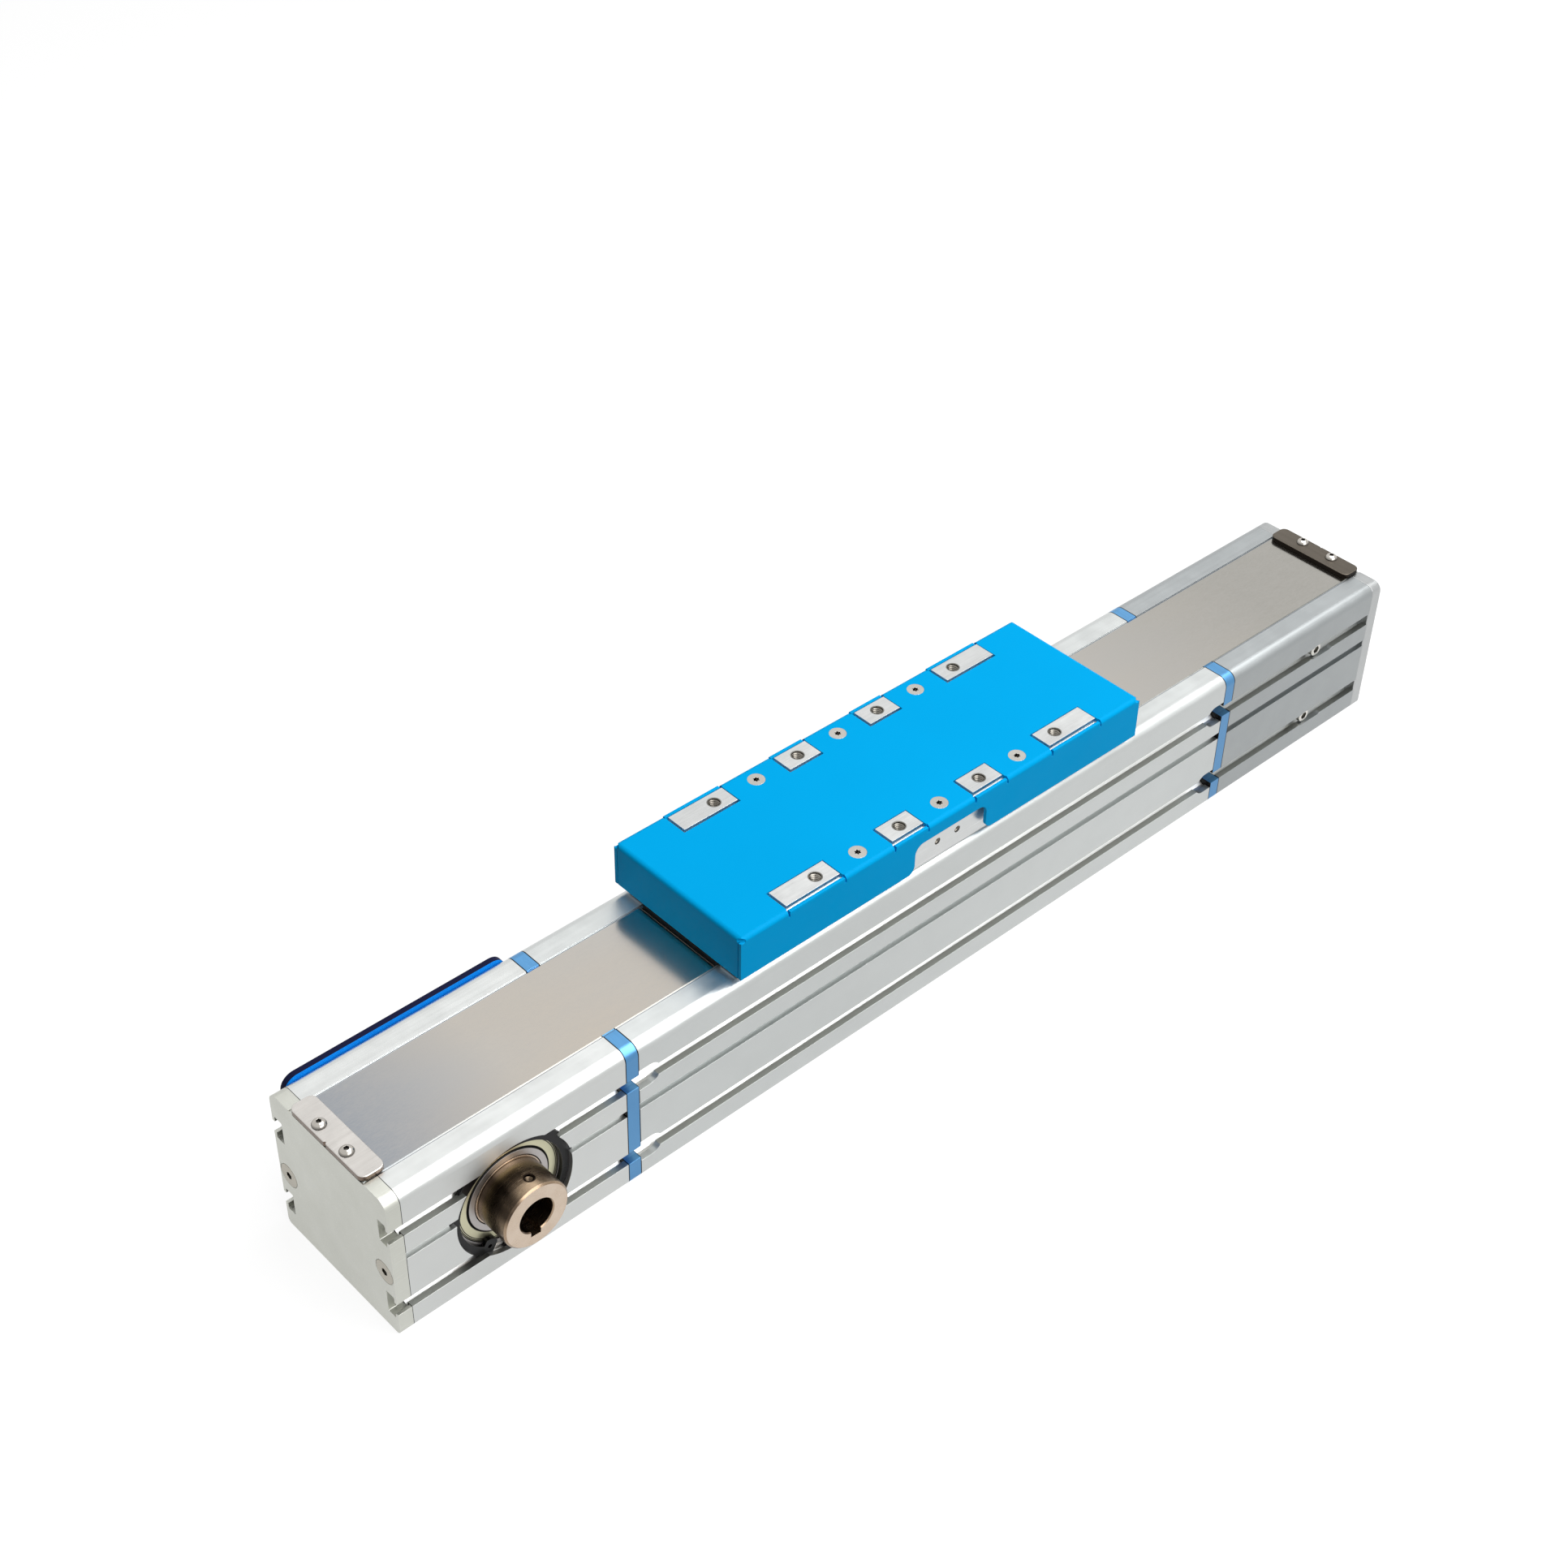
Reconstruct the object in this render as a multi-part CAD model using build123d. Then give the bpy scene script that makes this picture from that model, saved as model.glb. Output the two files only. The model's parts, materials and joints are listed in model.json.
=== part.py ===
"""Belt driven linear axis: aluminium extrusion, toothed belt, steel cover strip and a wide carriage.

Millimetres. Origin: centre of the base face. +X runs from the drive head to the tail head,
+Z is up, the carriage top, and -Y is the side that the hollow drive shaft stands out of.
The carriage is drawn 10 mm towards the drive head, where it stands at rest.
"""
from build123d import *
from math import acos, cos, degrees, pi, radians, sin
import os

# ---- profile, shared by the extrusion, the heads and the plates ----
PROFILE_WIDTH = 95.0
PROFILE_HEIGHT = 93.5
TOP_CORNER_R = 6.0
BASE_CORNER_R = 3.0
CHAMBER_WIDTH = 62.0
CHAMBER_TOP_WALL = 7.0
TOP_OPENING_WIDTH = 46.0
WEB_TOP = 30.0
WEB_THICKNESS = 6.0
LOWER_CHAMBER_WIDTH = 54.0
BASE_WALL = 9.0
SLOT_HEIGHTS = (18.6, 70.0)
SLOT_MOUTH = 8.0
SLOT_LIP = 3.8
SLOT_INNER = 15.6
SLOT_SHOULDER = 2.2
SLOT_FLOOR = 7.0
SLOT_DEPTH = 12.0
MID_GROOVE_Z = 51.8
MID_GROOVE_WIDTH = 4.7
MID_GROOVE_DEPTH = 3.4
END_SCREW_Y = 39.8
END_SCREW_Z = 39.9
FIT = 0.03
SCREW_CLEARANCE = 0.3
HEAD_EDGE = 0.4
CSK_RIM = 0.3

# ---- screws: shank radius, head radius, head height and socket radius ----
M4_R, M4_BUTTON_R, M4_BUTTON_H, M4_BUTTON_SOCKET_R = 2.0, 3.8, 2.3, 1.45
M5_R, M5_HEAD_R, M5_HEAD_H, M5_SOCKET_R = 2.5, 4.25, 5.0, 2.3
M5_BUTTON_R, M5_BUTTON_H, M5_BUTTON_SOCKET_R = 4.6, 2.6, 1.7
M5_LOW_HEAD_H = 3.5
M5_CSK_R, M5_CSK_SOCKET_R = 4.9, 1.9
M6_R, M6_CSK_R, M6_CSK_SOCKET_R = 3.0, 6.7, 2.3
YOKE_HEAD_R, YOKE_HEAD_H, YOKE_SOCKET_R = 4.4, 6.0, 2.6
LOBE_CENTRE, LOBE_R, LOBE_CORE = 0.78, 0.22, 0.74

# ---- lengths along the axis ----
EXTRUSION_LENGTH = 450.0
JOINT_PLATE_T = 8.0
HEAD_LENGTH = 134.0
END_PLATE_T = 8.0
SHAFT_FROM_END = 72.0
AXLE_FROM_END = 58.0
END_SCREW_LENGTH = 30.0
HEAD_SCREW_GRIP = 20.0
HEAD_SCREW_HIGH = (39.0, 7.9)
HEAD_SCREW_LOW = (22.0, 4.6)
NUT_POCKET_LENGTH = 14.0
NUT_POCKET_WIDTH = 14.0
TENSION_POCKET_LENGTH = 24.6
TENSION_POCKET_WIDTH = 9.6
TENSION_POCKET_CENTRE = 5.0
TENSION_LEDGE = 1.4

# ---- cover strip ----
STRIP_WIDTH = 58.6
STRIP_T = 0.5
STRIP_RECESS = 0.6
STRIP_RECESS_WIDTH = 61.2
STRIP_END_MARGIN = 1.0
MAGNET_INSET = 1.2
MAGNET_WIDTH = 4.4
MAGNET_T = 1.2
CLAMP_LENGTH = 14.0
CLAMP_WIDTH = 60.0
CLAMP_EDGE = 0.3
CLAMP_NICK = 1.4
CLAMP_T = 3.0
CLAMP_CORNER_R = 4.0
CLAMP_SCREW_X = 4.8
CLAMP_SCREW_SPACING = 22.5
CLAMP_SCREW_LENGTH = 10.0

# ---- belt and pulleys ----
BELT_PITCH = 10.0
PULLEY_TEETH = 16
PULLEY_Z = 44.8
BELT_WIDTH = 32.0
BELT_LAND_DEPTH = 0.92
BELT_TOOTH_HEIGHT = 2.5
BELT_TOOTH_FOOT = 7.0
BELT_TOOTH_TIP = 4.8
BELT_BACK_T = 2.0
TOOTH_PLAY = 0.25
PULLEY_FACE = 34.0
FLANGE_T = 1.5
FLANGE_RIM = 3.5

# ---- drive shaft and its bearings ----
BEARING_BORE = 40.0
BEARING_OD = 68.0
BEARING_WIDTH = 15.0
INNER_RING_OD = 48.6
OUTER_RING_ID = 60.6
SHIELD_T = 0.8
SHIELD_DEPTH = 0.7
SHIELD_GAP = 0.4
RING_CHAMFER = 0.5
SEAT_LEAD_R = 35.0
GROOVE_PLAY = 0.05
CIRCLIP_DEPTH = 2.9
CIRCLIP_T = 2.5
CIRCLIP_GROOVE_R = 37.2
CIRCLIP_R = 36.6
CIRCLIP_INNER_R = 31.0
CIRCLIP_OFFSET = 0.7
CIRCLIP_GAP_ANGLE = -106.5
CIRCLIP_LUG_ANGLE = 12.5
CIRCLIP_LUG_IN = 5.1
CIRCLIP_LUG_LENGTH = 9.0
CIRCLIP_LUG_WIDTH = 7.4
CIRCLIP_LUG_R = 2.6
CIRCLIP_HOLE_R = 1.25
SHAFT_COLLAR_R = 22.0
HUB_R = 19.4
HUB_PROTRUSION = 16.6
FAR_SHAFT_RECESS = 1.0
HOLLOW_BORE_R = 10.0
BORE_CHAMFER = 0.6
HUB_CHAMFER = 1.0
KEYWAY_WIDTH = 6.0
KEYWAY_DEPTH = 2.8
KEYWAY_TURN = 6.5
SET_SCREW_R = 2.5
SET_SCREW_FROM_END = 7.5

# ---- tail axle and tension yoke ----
AXLE_R = 8.5
TAIL_BEARING_R = 17.5
TAIL_BEARING_WIDTH = 10.0
TAIL_BEARING_INSET = 1.0
TAIL_RING_WALL = 3.6
TAIL_BEARING_SHOULDER = 2.5
YOKE_CLEARANCE = 0.4
CHEEK_INNER = 19.6
YOKE_LOW_GAP = 3.0
YOKE_HIGH_GAP = 6.5
YOKE_CORNER_R = 6.0
YOKE_FRONT = 16.0
YOKE_WEB_START = 30.5
YOKE_WEB_T = 11.0
YOKE_WEB_HEIGHT = 34.0
TENSION_SCREW_Y = 12.0
CLAMP_SPACER_T = 4.5

# ---- rail and runner blocks ----
RAIL_WIDTH = 20.0
RAIL_HEIGHT = 17.5
RAIL_END_GAP = 2.0
RAIL_TRACK = 2.4
RAIL_TRACK_Z = 9.4
RAIL_TRACK_LAND = 1.0
RAIL_EDGE = 1.0
RAIL_HOLE_PITCH = 60.0
RAIL_HOLES = 7
RAIL_COUNTERBORE = 8.0
RUNNER_WIDTH = 44.0
RUNNER_TOP = 60.0
RUNNER_GROUND = 4.6
RUNNER_BODY_LENGTH = 51.0
RUNNER_CAP_LENGTH = 12.0
RUNNER_X = 70.0
RUNNER_PLAY = 0.3
RUNNER_CAP_STEP = 0.6
RUNNER_SCREW_X = 18.0
RUNNER_SCREW_Y = 16.0
RUNNER_SCREW_DEPTH = 8.0

# ---- carriage ----
CARRIAGE_X = -10.0
CARRIAGE_GAP = 0.6
COVER_WIDTH = 98.7
COVER_RISE = 31.5
COVER_SKIRT = 27.1
COVER_SHEET = 2.0
COVER_END = 11.8
COVER_BEND_R = 2.6
CORNER_SEAM = 0.5
CORNER_RELIEF_X = 0.6
CORNER_RELIEF_Y = 1.2
CORNER_RELIEF_DROP = 1.4
CORNER_RELIEF_LENGTH = 5.0
PAD_SLIT = 1.0
PAD_SLIT_DROP = 1.2
CORNER_RELIEF_R = 1.4
WINDOW_WIDTH = 54.0
WINDOW_DROP = 9.4
WINDOW_R = 6.0
WINDOW_FLARE_R = 5.0
COVER_SCREW_LENGTH = 12.0
COVER_SCREW_PLAY = 0.05
SADDLE_SETBACK = 2.8
SADDLE_SIDE = 44.7
LEDGE_SIDE = 46.9
LEDGE_THICKNESS = 6.4
LEDGE_CHAMFER = 0.8
STRIP_CHANNEL_WIDTH = 61.6
PAD_PROUD = 0.65
PAD_WIDTH = 13.1
PAD_Y = 39.1
HOLE_PITCH = 60.0
HOLE_R = 3.4
HOLE_DEPTH = 18.0
INNER_PAD_LENGTH = 22.4
OUTER_PAD_LENGTH = 37.0
OUTER_PAD_OVERHANG = 11.0
PAD_GAP = 1.1
SIDE_HOLE_R = 2.1
SIDE_HOLE_X = (-5.3, 9.7)
SIDE_HOLE_DROP = 20.5
SIDE_HOLE_DEPTH = 10.0
BRIDGE_LENGTH = 168.0
BRIDGE_T = 11.0
LINER_T = 3.35
LINER_SETBACK = 4.0
CREST_OVERHANG = 3.0
NECK_END_SETBACK = 4.0
NECK_WIDTH = 21.0
NECK_LOW_RISE = 1.5
NECK_LENGTH = 218.0
FOOT_T = 7.0
END_BLOCK_START = 104.0
END_BLOCK_END = 138.0
END_BLOCK_WIDTH = 48.0
END_BLOCK_GAP = 1.5
CLAMP_JAW_START = 113.0
CLAMP_JAW_T = 5.5
JAW_PLAY = 0.3
JAW_SCREW_Y = 19.8
JAW_SCREW_EDGE = 6.0
JAW_SCREW_LENGTH = 16.0
STRIP_RISE_R = 45.0
STRIP_CREST_DROP = 11.4
STRIP_LIFT = 0.2
RAMP_LENGTH = 40.0
WIPER_LENGTH = 8.0
BUFFER_R = 5.5
BUFFER_LENGTH = 9.0
BUFFER_DROP = 6.0

# ---- plate over the unused shaft opening ----
SIDE_PLATE_T = 3.4
SIDE_GASKET_T = 0.5
SIDE_PLATE_CORNER_R = 8.0
SIDE_PLATE_MARGIN = 0.5
SIDE_SCREW_INSET = 12.0
SIDE_SCREW_LENGTH = 12.0
NUT_LENGTH = 14.0
NUT_WIDTH = 12.0
NUT_CORE = 9.2
NUT_T = 4.0
NUT_STEM = 1.2
NUT_PLAY = 0.2

# ---- values that follow ----
CHAMBER_TOP = PROFILE_HEIGHT - CHAMBER_TOP_WALL
HEAD_SCREW_SPOTS = ((HEAD_SCREW_HIGH[0], PROFILE_HEIGHT - HEAD_SCREW_HIGH[1]), HEAD_SCREW_LOW)
HALF_WIDTH = PROFILE_WIDTH / 2
JOINT_X = EXTRUSION_LENGTH / 2
HEAD_IN = JOINT_X + JOINT_PLATE_T
HEAD_OUT = HEAD_IN + HEAD_LENGTH
END_X = HEAD_OUT + END_PLATE_T
DRIVE_X = -(END_X - SHAFT_FROM_END)
TAIL_X = END_X - AXLE_FROM_END
PITCH_R = BELT_PITCH * PULLEY_TEETH / (2 * pi)
PULLEY_R = PITCH_R - BELT_LAND_DEPTH
BELT_LAND_R = PULLEY_R + 0.1
BELT_TIP_R = BELT_LAND_R - BELT_TOOTH_HEIGHT
BELT_BACK_R = BELT_LAND_R + BELT_BACK_T
PULLEY_ROOT_R = BELT_TIP_R - TOOTH_PLAY
FLANGE_R = PULLEY_R + FLANGE_RIM
FLANGE_OUT = PULLEY_FACE / 2 + FLANGE_T
BEARING_FACE = HALF_WIDTH - CIRCLIP_DEPTH - CIRCLIP_T - 0.1
BEARING_BACK = BEARING_FACE - BEARING_WIDTH
RECESS_FLOOR = PROFILE_HEIGHT - STRIP_RECESS
CHEEK_OUTER = CHAMBER_WIDTH / 2 - YOKE_CLEARANCE
HOLE_XS = [HOLE_PITCH * (i - 1.5) for i in range(4)]
COVER_SCREW_XS = [HOLE_PITCH * (i - 1) for i in range(3)]
BELT_TOP_BACK = PULLEY_Z + BELT_BACK_R
BELT_TOP_TIP = PULLEY_Z + BELT_TIP_R
COVER_TOP = PROFILE_HEIGHT + COVER_RISE
COVER_BOTTOM = COVER_TOP - COVER_SKIRT
CARRIAGE_BOTTOM = PROFILE_HEIGHT + CARRIAGE_GAP
SADDLE_TOP = COVER_TOP - COVER_SHEET
PAD_TOP = COVER_TOP + PAD_PROUD
END_BLOCK_TOP = CHAMBER_TOP - END_BLOCK_GAP
STRIP_CREST_Z = COVER_TOP - STRIP_CREST_DROP
STRIP_LOW_Z = RECESS_FLOOR + STRIP_T / 2 + STRIP_LIFT
STRIP_TURN = acos(1 - (STRIP_CREST_Z - STRIP_LOW_Z) / (2 * STRIP_RISE_R))
STRIP_RUN = 2 * STRIP_RISE_R * sin(STRIP_TURN)
STRIP_RISE_START = BRIDGE_LENGTH / 2 - CREST_OVERHANG + STRIP_RUN
BRIDGE_TOP = STRIP_CREST_Z - STRIP_T / 2 - LINER_T
BRIDGE_BOTTOM = BRIDGE_TOP - BRIDGE_T
COVER_LENGTH = 2 * (STRIP_RISE_START + COVER_END)
SADDLE_LENGTH = COVER_LENGTH - 2 * SADDLE_SETBACK
WIPER_START = SADDLE_LENGTH / 2 - WIPER_LENGTH


# ---- general forms ----
def along_x(section, start, end):
    """A section drawn in (Y, Z), extruded from x = start to x = end."""
    return extrude(Plane.YZ.offset(start) * section, end - start, dir=(1, 0, 0))


def across_y(section, low, high):
    """A section drawn in (X, Z), extruded from y = low to y = high."""
    return extrude(Plane.XZ.offset(-low) * section, high - low, dir=(0, 1, 0))


def up_z(section, low, high):
    """A section drawn in (X, Y), extruded from z = low to z = high."""
    return extrude(Plane.XY.offset(low) * section, high - low, dir=(0, 0, 1))


def block(x_range, y_range, z_range):
    """A box given by its three ranges."""
    size = [high - low for low, high in (x_range, y_range, z_range)]
    middle = [(high + low) / 2 for low, high in (x_range, y_range, z_range)]
    return Pos(*middle) * Box(*size)


def rect(x_range, y_range):
    """A flat rectangle given by its two ranges."""
    (x0, x1), (y0, y1) = x_range, y_range
    return Pos((x0 + x1) / 2, (y0 + y1) / 2) * Rectangle(x1 - x0, y1 - y0)


def ring(inner, outer, low, high, bevel=0.0):
    """A ring about the Y axis, with its outer corners bevelled."""
    section = rect((inner, outer), (low, high))
    if bevel:
        section = chamfer(section.vertices(), bevel)
    return revolve(Plane.XY * section, Axis.Y)


def rod_y(radius, low, high):
    """A round bar along Y."""
    return across_y(Circle(radius), low, high)


def rod_x(radius, start, end):
    """A round bar along X."""
    return along_x(Circle(radius), start, end)


def mirrored(solid, plane):
    """The solid and its mirror image."""
    return [solid, mirror(solid, about=plane)]


def lobed_socket(radius):
    """Section of a six-lobed socket."""
    lobe = Pos(LOBE_CENTRE * radius, 0) * Circle(LOBE_R * radius)
    return Circle(LOBE_CORE * radius) + [Rot(0, 0, 60 * i) * lobe for i in range(6)]


def csk_screw(radius, head_r, length, socket):
    """Countersunk screw, head up, its flat face at z = 0, with a socket of the given section."""
    cone = -CSK_RIM - head_r + radius
    section = Polygon((0, 0), (head_r, 0), (head_r, -CSK_RIM), (radius, cone),
                      (radius, -length), (0, -length), align=None)
    body = revolve(Plane.XZ * section, Axis.Z)
    return body - up_z(socket, cone, 1)


def csk_hole(radius, head_r, length, play):
    """The hole for a countersunk screw, with its mouth at z = 0."""
    bore, mouth = radius + play, head_r + play
    section = Polygon((0, 1), (mouth, 1), (mouth, -CSK_RIM), (bore, -CSK_RIM - mouth + bore),
                      (bore, -length), (0, -length), align=None)
    return revolve(Plane.XZ * section, Axis.Z)


def cap_screw(radius, head_r, head_h, length, socket):
    """Cylinder head socket screw, head up, its seat at z = 0."""
    section = Polygon((0, head_h), (head_r - HEAD_EDGE, head_h), (head_r, head_h - HEAD_EDGE), (head_r, 0),
                      (radius, 0), (radius, -length), (0, -length), align=None)
    body = revolve(Plane.XZ * section, Axis.Z)
    return body - up_z(RegularPolygon(socket, 6), head_h / 2, head_h + 1)


def button_screw(radius, head_r, head_h, length, socket):
    """Button head socket screw, head up, its seat at z = 0."""
    dome = ThreePointArc((head_r, 0.3), (0.76 * head_r, 0.72 * head_h), (0.42 * head_r, head_h))
    edges = [dome, Polyline((0.42 * head_r, head_h), (0, head_h), (0, -length), (radius, -length),
                            (radius, 0), (head_r, 0), (head_r, 0.3))]
    body = revolve(Plane.XZ * make_face(Curve() + edges), Axis.Z)
    return body - up_z(RegularPolygon(socket, 6), head_h / 2, head_h + 1)


# ---- extruded profile ----
def t_slot(side, height, grow=0.0):
    """Section of one T-slot, opening on the given side."""
    mouth, inner, floor = (SLOT_MOUTH / 2 + grow, SLOT_INNER / 2 + grow, SLOT_FLOOR / 2 + grow)
    steps = [(HALF_WIDTH + 1, mouth), (HALF_WIDTH - SLOT_LIP, mouth), (HALF_WIDTH - SLOT_LIP, inner),
             (HALF_WIDTH - SLOT_LIP - SLOT_SHOULDER, inner), (HALF_WIDTH - SLOT_DEPTH - grow, floor)]
    upper = [(side * y, height + z) for y, z in steps]
    lower = [(side * y, height - z) for y, z in reversed(steps)]
    return Polygon(*upper, *lower, align=None)


def outline():
    """Outer outline shared by extrusion, heads and plates, with the bed of the strip."""
    face = rect((-HALF_WIDTH, HALF_WIDTH), (0, PROFILE_HEIGHT))
    face = fillet(face.vertices().group_by(Axis.Y)[-1], TOP_CORNER_R)
    face = fillet(face.vertices().group_by(Axis.Y)[0], BASE_CORNER_R)
    half_bed = STRIP_RECESS_WIDTH / 2
    return face - rect((-half_bed, half_bed), (RECESS_FLOOR, PROFILE_HEIGHT + 1))


def slotted(face, with_mid_groove=True):
    """The face with the T-slots and the cable groove of both sides cut in."""
    for side in (-1, 1):
        for height in SLOT_HEIGHTS:
            face -= t_slot(side, height)
        if with_mid_groove:
            wall = side * (HALF_WIDTH - MID_GROOVE_DEPTH), side * (HALF_WIDTH + 1)
            half = MID_GROOVE_WIDTH / 2
            face -= rect((min(wall), max(wall)), (MID_GROOVE_Z - half, MID_GROOVE_Z + half))
    return face


def top_opening():
    """Section of the opening that the carriage neck passes through."""
    half = TOP_OPENING_WIDTH / 2
    return rect((-half, half), (CHAMBER_TOP - 1, PROFILE_HEIGHT + 1))


def screw_channels(radius):
    """Sections of the two channels for the end screws."""
    return [Pos(side * END_SCREW_Y, END_SCREW_Z) * Circle(radius) for side in (-1, 1)]


def magnet_beds():
    """Sections of the grooves for the magnetic tapes in the bed of the strip."""
    y0 = TOP_OPENING_WIDTH / 2 + MAGNET_INSET
    bed = rect((y0, y0 + MAGNET_WIDTH), (RECESS_FLOOR - MAGNET_T, RECESS_FLOOR + 1))
    return [bed, mirror(bed, about=Plane.YZ)]


def main_section():
    """Section of the main extrusion: rail chamber above, belt return chamber below."""
    half, low = CHAMBER_WIDTH / 2, LOWER_CHAMBER_WIDTH / 2
    face = slotted(outline()) - top_opening()
    face -= rect((-half, half), (WEB_TOP, CHAMBER_TOP))
    face -= rect((-low, low), (BASE_WALL, WEB_TOP - WEB_THICKNESS))
    face -= screw_channels(M6_R + FIT)
    return face - magnet_beds()


def head_section():
    """Section of both heads: the two chambers are milled into one for pulley and belt."""
    half = CHAMBER_WIDTH / 2
    face = slotted(outline()) - top_opening()
    face -= rect((-half, half), (BASE_WALL, CHAMBER_TOP))
    return face - screw_channels(M6_R + SCREW_CLEARANCE)


def head_screw_bores(radius, start, end):
    """Four bores along X for the screws that hold a head on the extrusion."""
    bores = []
    for y, z in HEAD_SCREW_SPOTS:
        bores += [Pos(0, side * y, z) * rod_x(radius, start, end) for side in (-1, 1)]
    return bores


def main_extrusion():
    """Main extrusion with the scalloped pockets where slot nuts drop in."""
    body = along_x(main_section(), -JOINT_X, JOINT_X)
    body -= head_screw_bores(M5_R + FIT, -JOINT_X - 1, -JOINT_X + HEAD_SCREW_GRIP + 2)
    body -= head_screw_bores(M5_R + FIT, JOINT_X - HEAD_SCREW_GRIP - 2, JOINT_X + 1)
    body -= [Pos(x, 0, WEB_TOP) * Cylinder(M5_R + FIT, 3 * WEB_THICKNESS) for x in rail_hole_xs()]
    pocket = SlotOverall(2 * NUT_POCKET_LENGTH, NUT_POCKET_WIDTH)
    for end in (-JOINT_X, JOINT_X):
        for height in SLOT_HEIGHTS:
            cut = across_y(Pos(end, height) * pocket, HALF_WIDTH - SLOT_LIP - SLOT_SHOULDER, HALF_WIDTH + 1)
            body -= mirrored(cut, Plane.XZ)
    return body


def seat_tools():
    """Cuts for the +Y bearing about the shaft axis: lead-in, circlip groove and seat."""
    groove_out = HALF_WIDTH - CIRCLIP_DEPTH + GROOVE_PLAY
    groove_in = groove_out - CIRCLIP_T - 2 * GROOVE_PLAY
    return [rod_y(SEAT_LEAD_R, BEARING_FACE, HALF_WIDTH + 1),
            rod_y(CIRCLIP_GROOVE_R, groove_in, groove_out),
            rod_y(BEARING_OD / 2 + FIT, 0, HALF_WIDTH)]


def slot_relief(start, end):
    """Cut that opens the floor of the lower slots towards the belt chamber."""
    depth = HALF_WIDTH - SLOT_DEPTH + 1
    height = SLOT_HEIGHTS[0]
    return block((start, end), (-depth, depth), (height - SLOT_FLOOR / 2, height + SLOT_FLOOR / 2))


def head_blank():
    """Head at the tail end of the axis, with the counterbored bores of its screws."""
    body = along_x(head_section(), HEAD_IN, HEAD_OUT)
    body -= head_screw_bores(M5_R + SCREW_CLEARANCE, HEAD_IN - 1, HEAD_OUT)
    head_r, head_h = M5_HEAD_R + SCREW_CLEARANCE, M5_HEAD_H + SCREW_CLEARANCE
    return body - head_screw_bores(head_r, HEAD_OUT - head_h, HEAD_OUT + 1)


def drive_head():
    """Drive head with its two bearing seats."""
    body = mirror(head_blank(), about=Plane.YZ)
    shaft_axis = Pos(DRIVE_X, 0, PULLEY_Z)
    for tool in seat_tools():
        body -= shaft_axis * tool
        body -= shaft_axis * mirror(tool, about=Plane.XZ)
    return body - slot_relief(-HEAD_OUT, DRIVE_X)


def tail_head():
    """Tail head with long pockets that let the yoke bolts move when the belt is tightened."""
    body = head_blank()
    ledge = TENSION_POCKET_WIDTH - 2 * TENSION_LEDGE
    shank_slot = SlotOverall(TENSION_POCKET_LENGTH - 2 * TENSION_LEDGE, ledge)
    pocket = SlotOverall(TENSION_POCKET_LENGTH, TENSION_POCKET_WIDTH)
    for height in SLOT_HEIGHTS:
        place = Pos(TAIL_X + TENSION_POCKET_CENTRE, height)
        body -= mirrored(across_y(place * pocket, HALF_WIDTH - SLOT_DEPTH, HALF_WIDTH + 1), Plane.XZ)
        body -= mirrored(across_y(place * shank_slot, CHEEK_OUTER, HALF_WIDTH), Plane.XZ)
    return body - slot_relief(TAIL_X, HEAD_OUT)


def joint_plate(start):
    """Plate between extrusion and head, with windows for the two belt runs."""
    face = outline()
    half = SLOT_MOUTH / 2 + 0.1
    for side in (-1, 1):
        for height in SLOT_HEIGHTS:
            notch = rect((HALF_WIDTH - SLOT_DEPTH, HALF_WIDTH + 1), (height - half, height + half))
            face -= notch if side > 0 else mirror(notch, about=Plane.YZ)
    width = BELT_WIDTH / 2 + 2.5
    face -= rect((-width, width), (BELT_TOP_TIP - 2, BELT_TOP_BACK + 2))
    low = PULLEY_Z - BELT_BACK_R
    face -= rect((-width, width), (low - 2, low + BELT_BACK_R - BELT_TIP_R + 2))
    plate = along_x(face, start, start + JOINT_PLATE_T)
    return plate - head_screw_bores(M5_R + SCREW_CLEARANCE, start - 1, start + JOINT_PLATE_T + 1)


def end_plate():
    """Plate that closes the drive head, drawn with its outer face at x = 0 and looking to -X."""
    plate = along_x(slotted(outline(), with_mid_groove=False), 0, END_PLATE_T)
    for side in (-1, 1):
        hole = csk_hole(M6_R, M6_CSK_R, END_PLATE_T + 1, FIT)
        plate -= Pos(0, side * END_SCREW_Y, END_SCREW_Z) * Rot(0, -90, 0) * hole
        bore = Cylinder(M4_R + FIT, 12)
        plate -= Pos(CLAMP_SCREW_X, side * CLAMP_SCREW_SPACING / 2, PROFILE_HEIGHT - 5) * bore
    return plate


def drive_end_plate():
    """End plate of the drive head."""
    return Pos(-END_X, 0, 0) * end_plate()


def tail_end_plate():
    """End plate of the tail head, with the two holes of the tension screws."""
    plate = Pos(END_X, 0, 0) * mirror(end_plate(), about=Plane.YZ)
    for side in (-1, 1):
        hole = csk_hole(M6_R, M6_CSK_R, END_PLATE_T + 1, FIT)
        plate -= Pos(END_X, side * TENSION_SCREW_Y, PULLEY_Z) * Rot(0, 90, 0) * hole
    return plate


def end_plate_screws():
    """The countersunk screws of both end plates."""
    screw = csk_screw(M6_R, M6_CSK_R, END_SCREW_LENGTH, RegularPolygon(M6_CSK_SOCKET_R, 6))
    return [Pos(sign * END_X, side * END_SCREW_Y, END_SCREW_Z) * Rot(0, 90 * sign, 0) * screw
            for sign in (-1, 1) for side in (-1, 1)]


def head_screws():
    """Long screws through both heads and joint plates into the extrusion, under the end plates."""
    seat = HEAD_OUT - M5_HEAD_H - SCREW_CLEARANCE
    length = seat - JOINT_X + HEAD_SCREW_GRIP
    screw = cap_screw(M5_R, M5_HEAD_R, M5_HEAD_H, length, M5_SOCKET_R)
    return [Pos(sign * seat, side * y, z) * Rot(0, 90 * sign, 0) * screw
            for sign in (-1, 1) for side in (-1, 1) for y, z in HEAD_SCREW_SPOTS]


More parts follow.
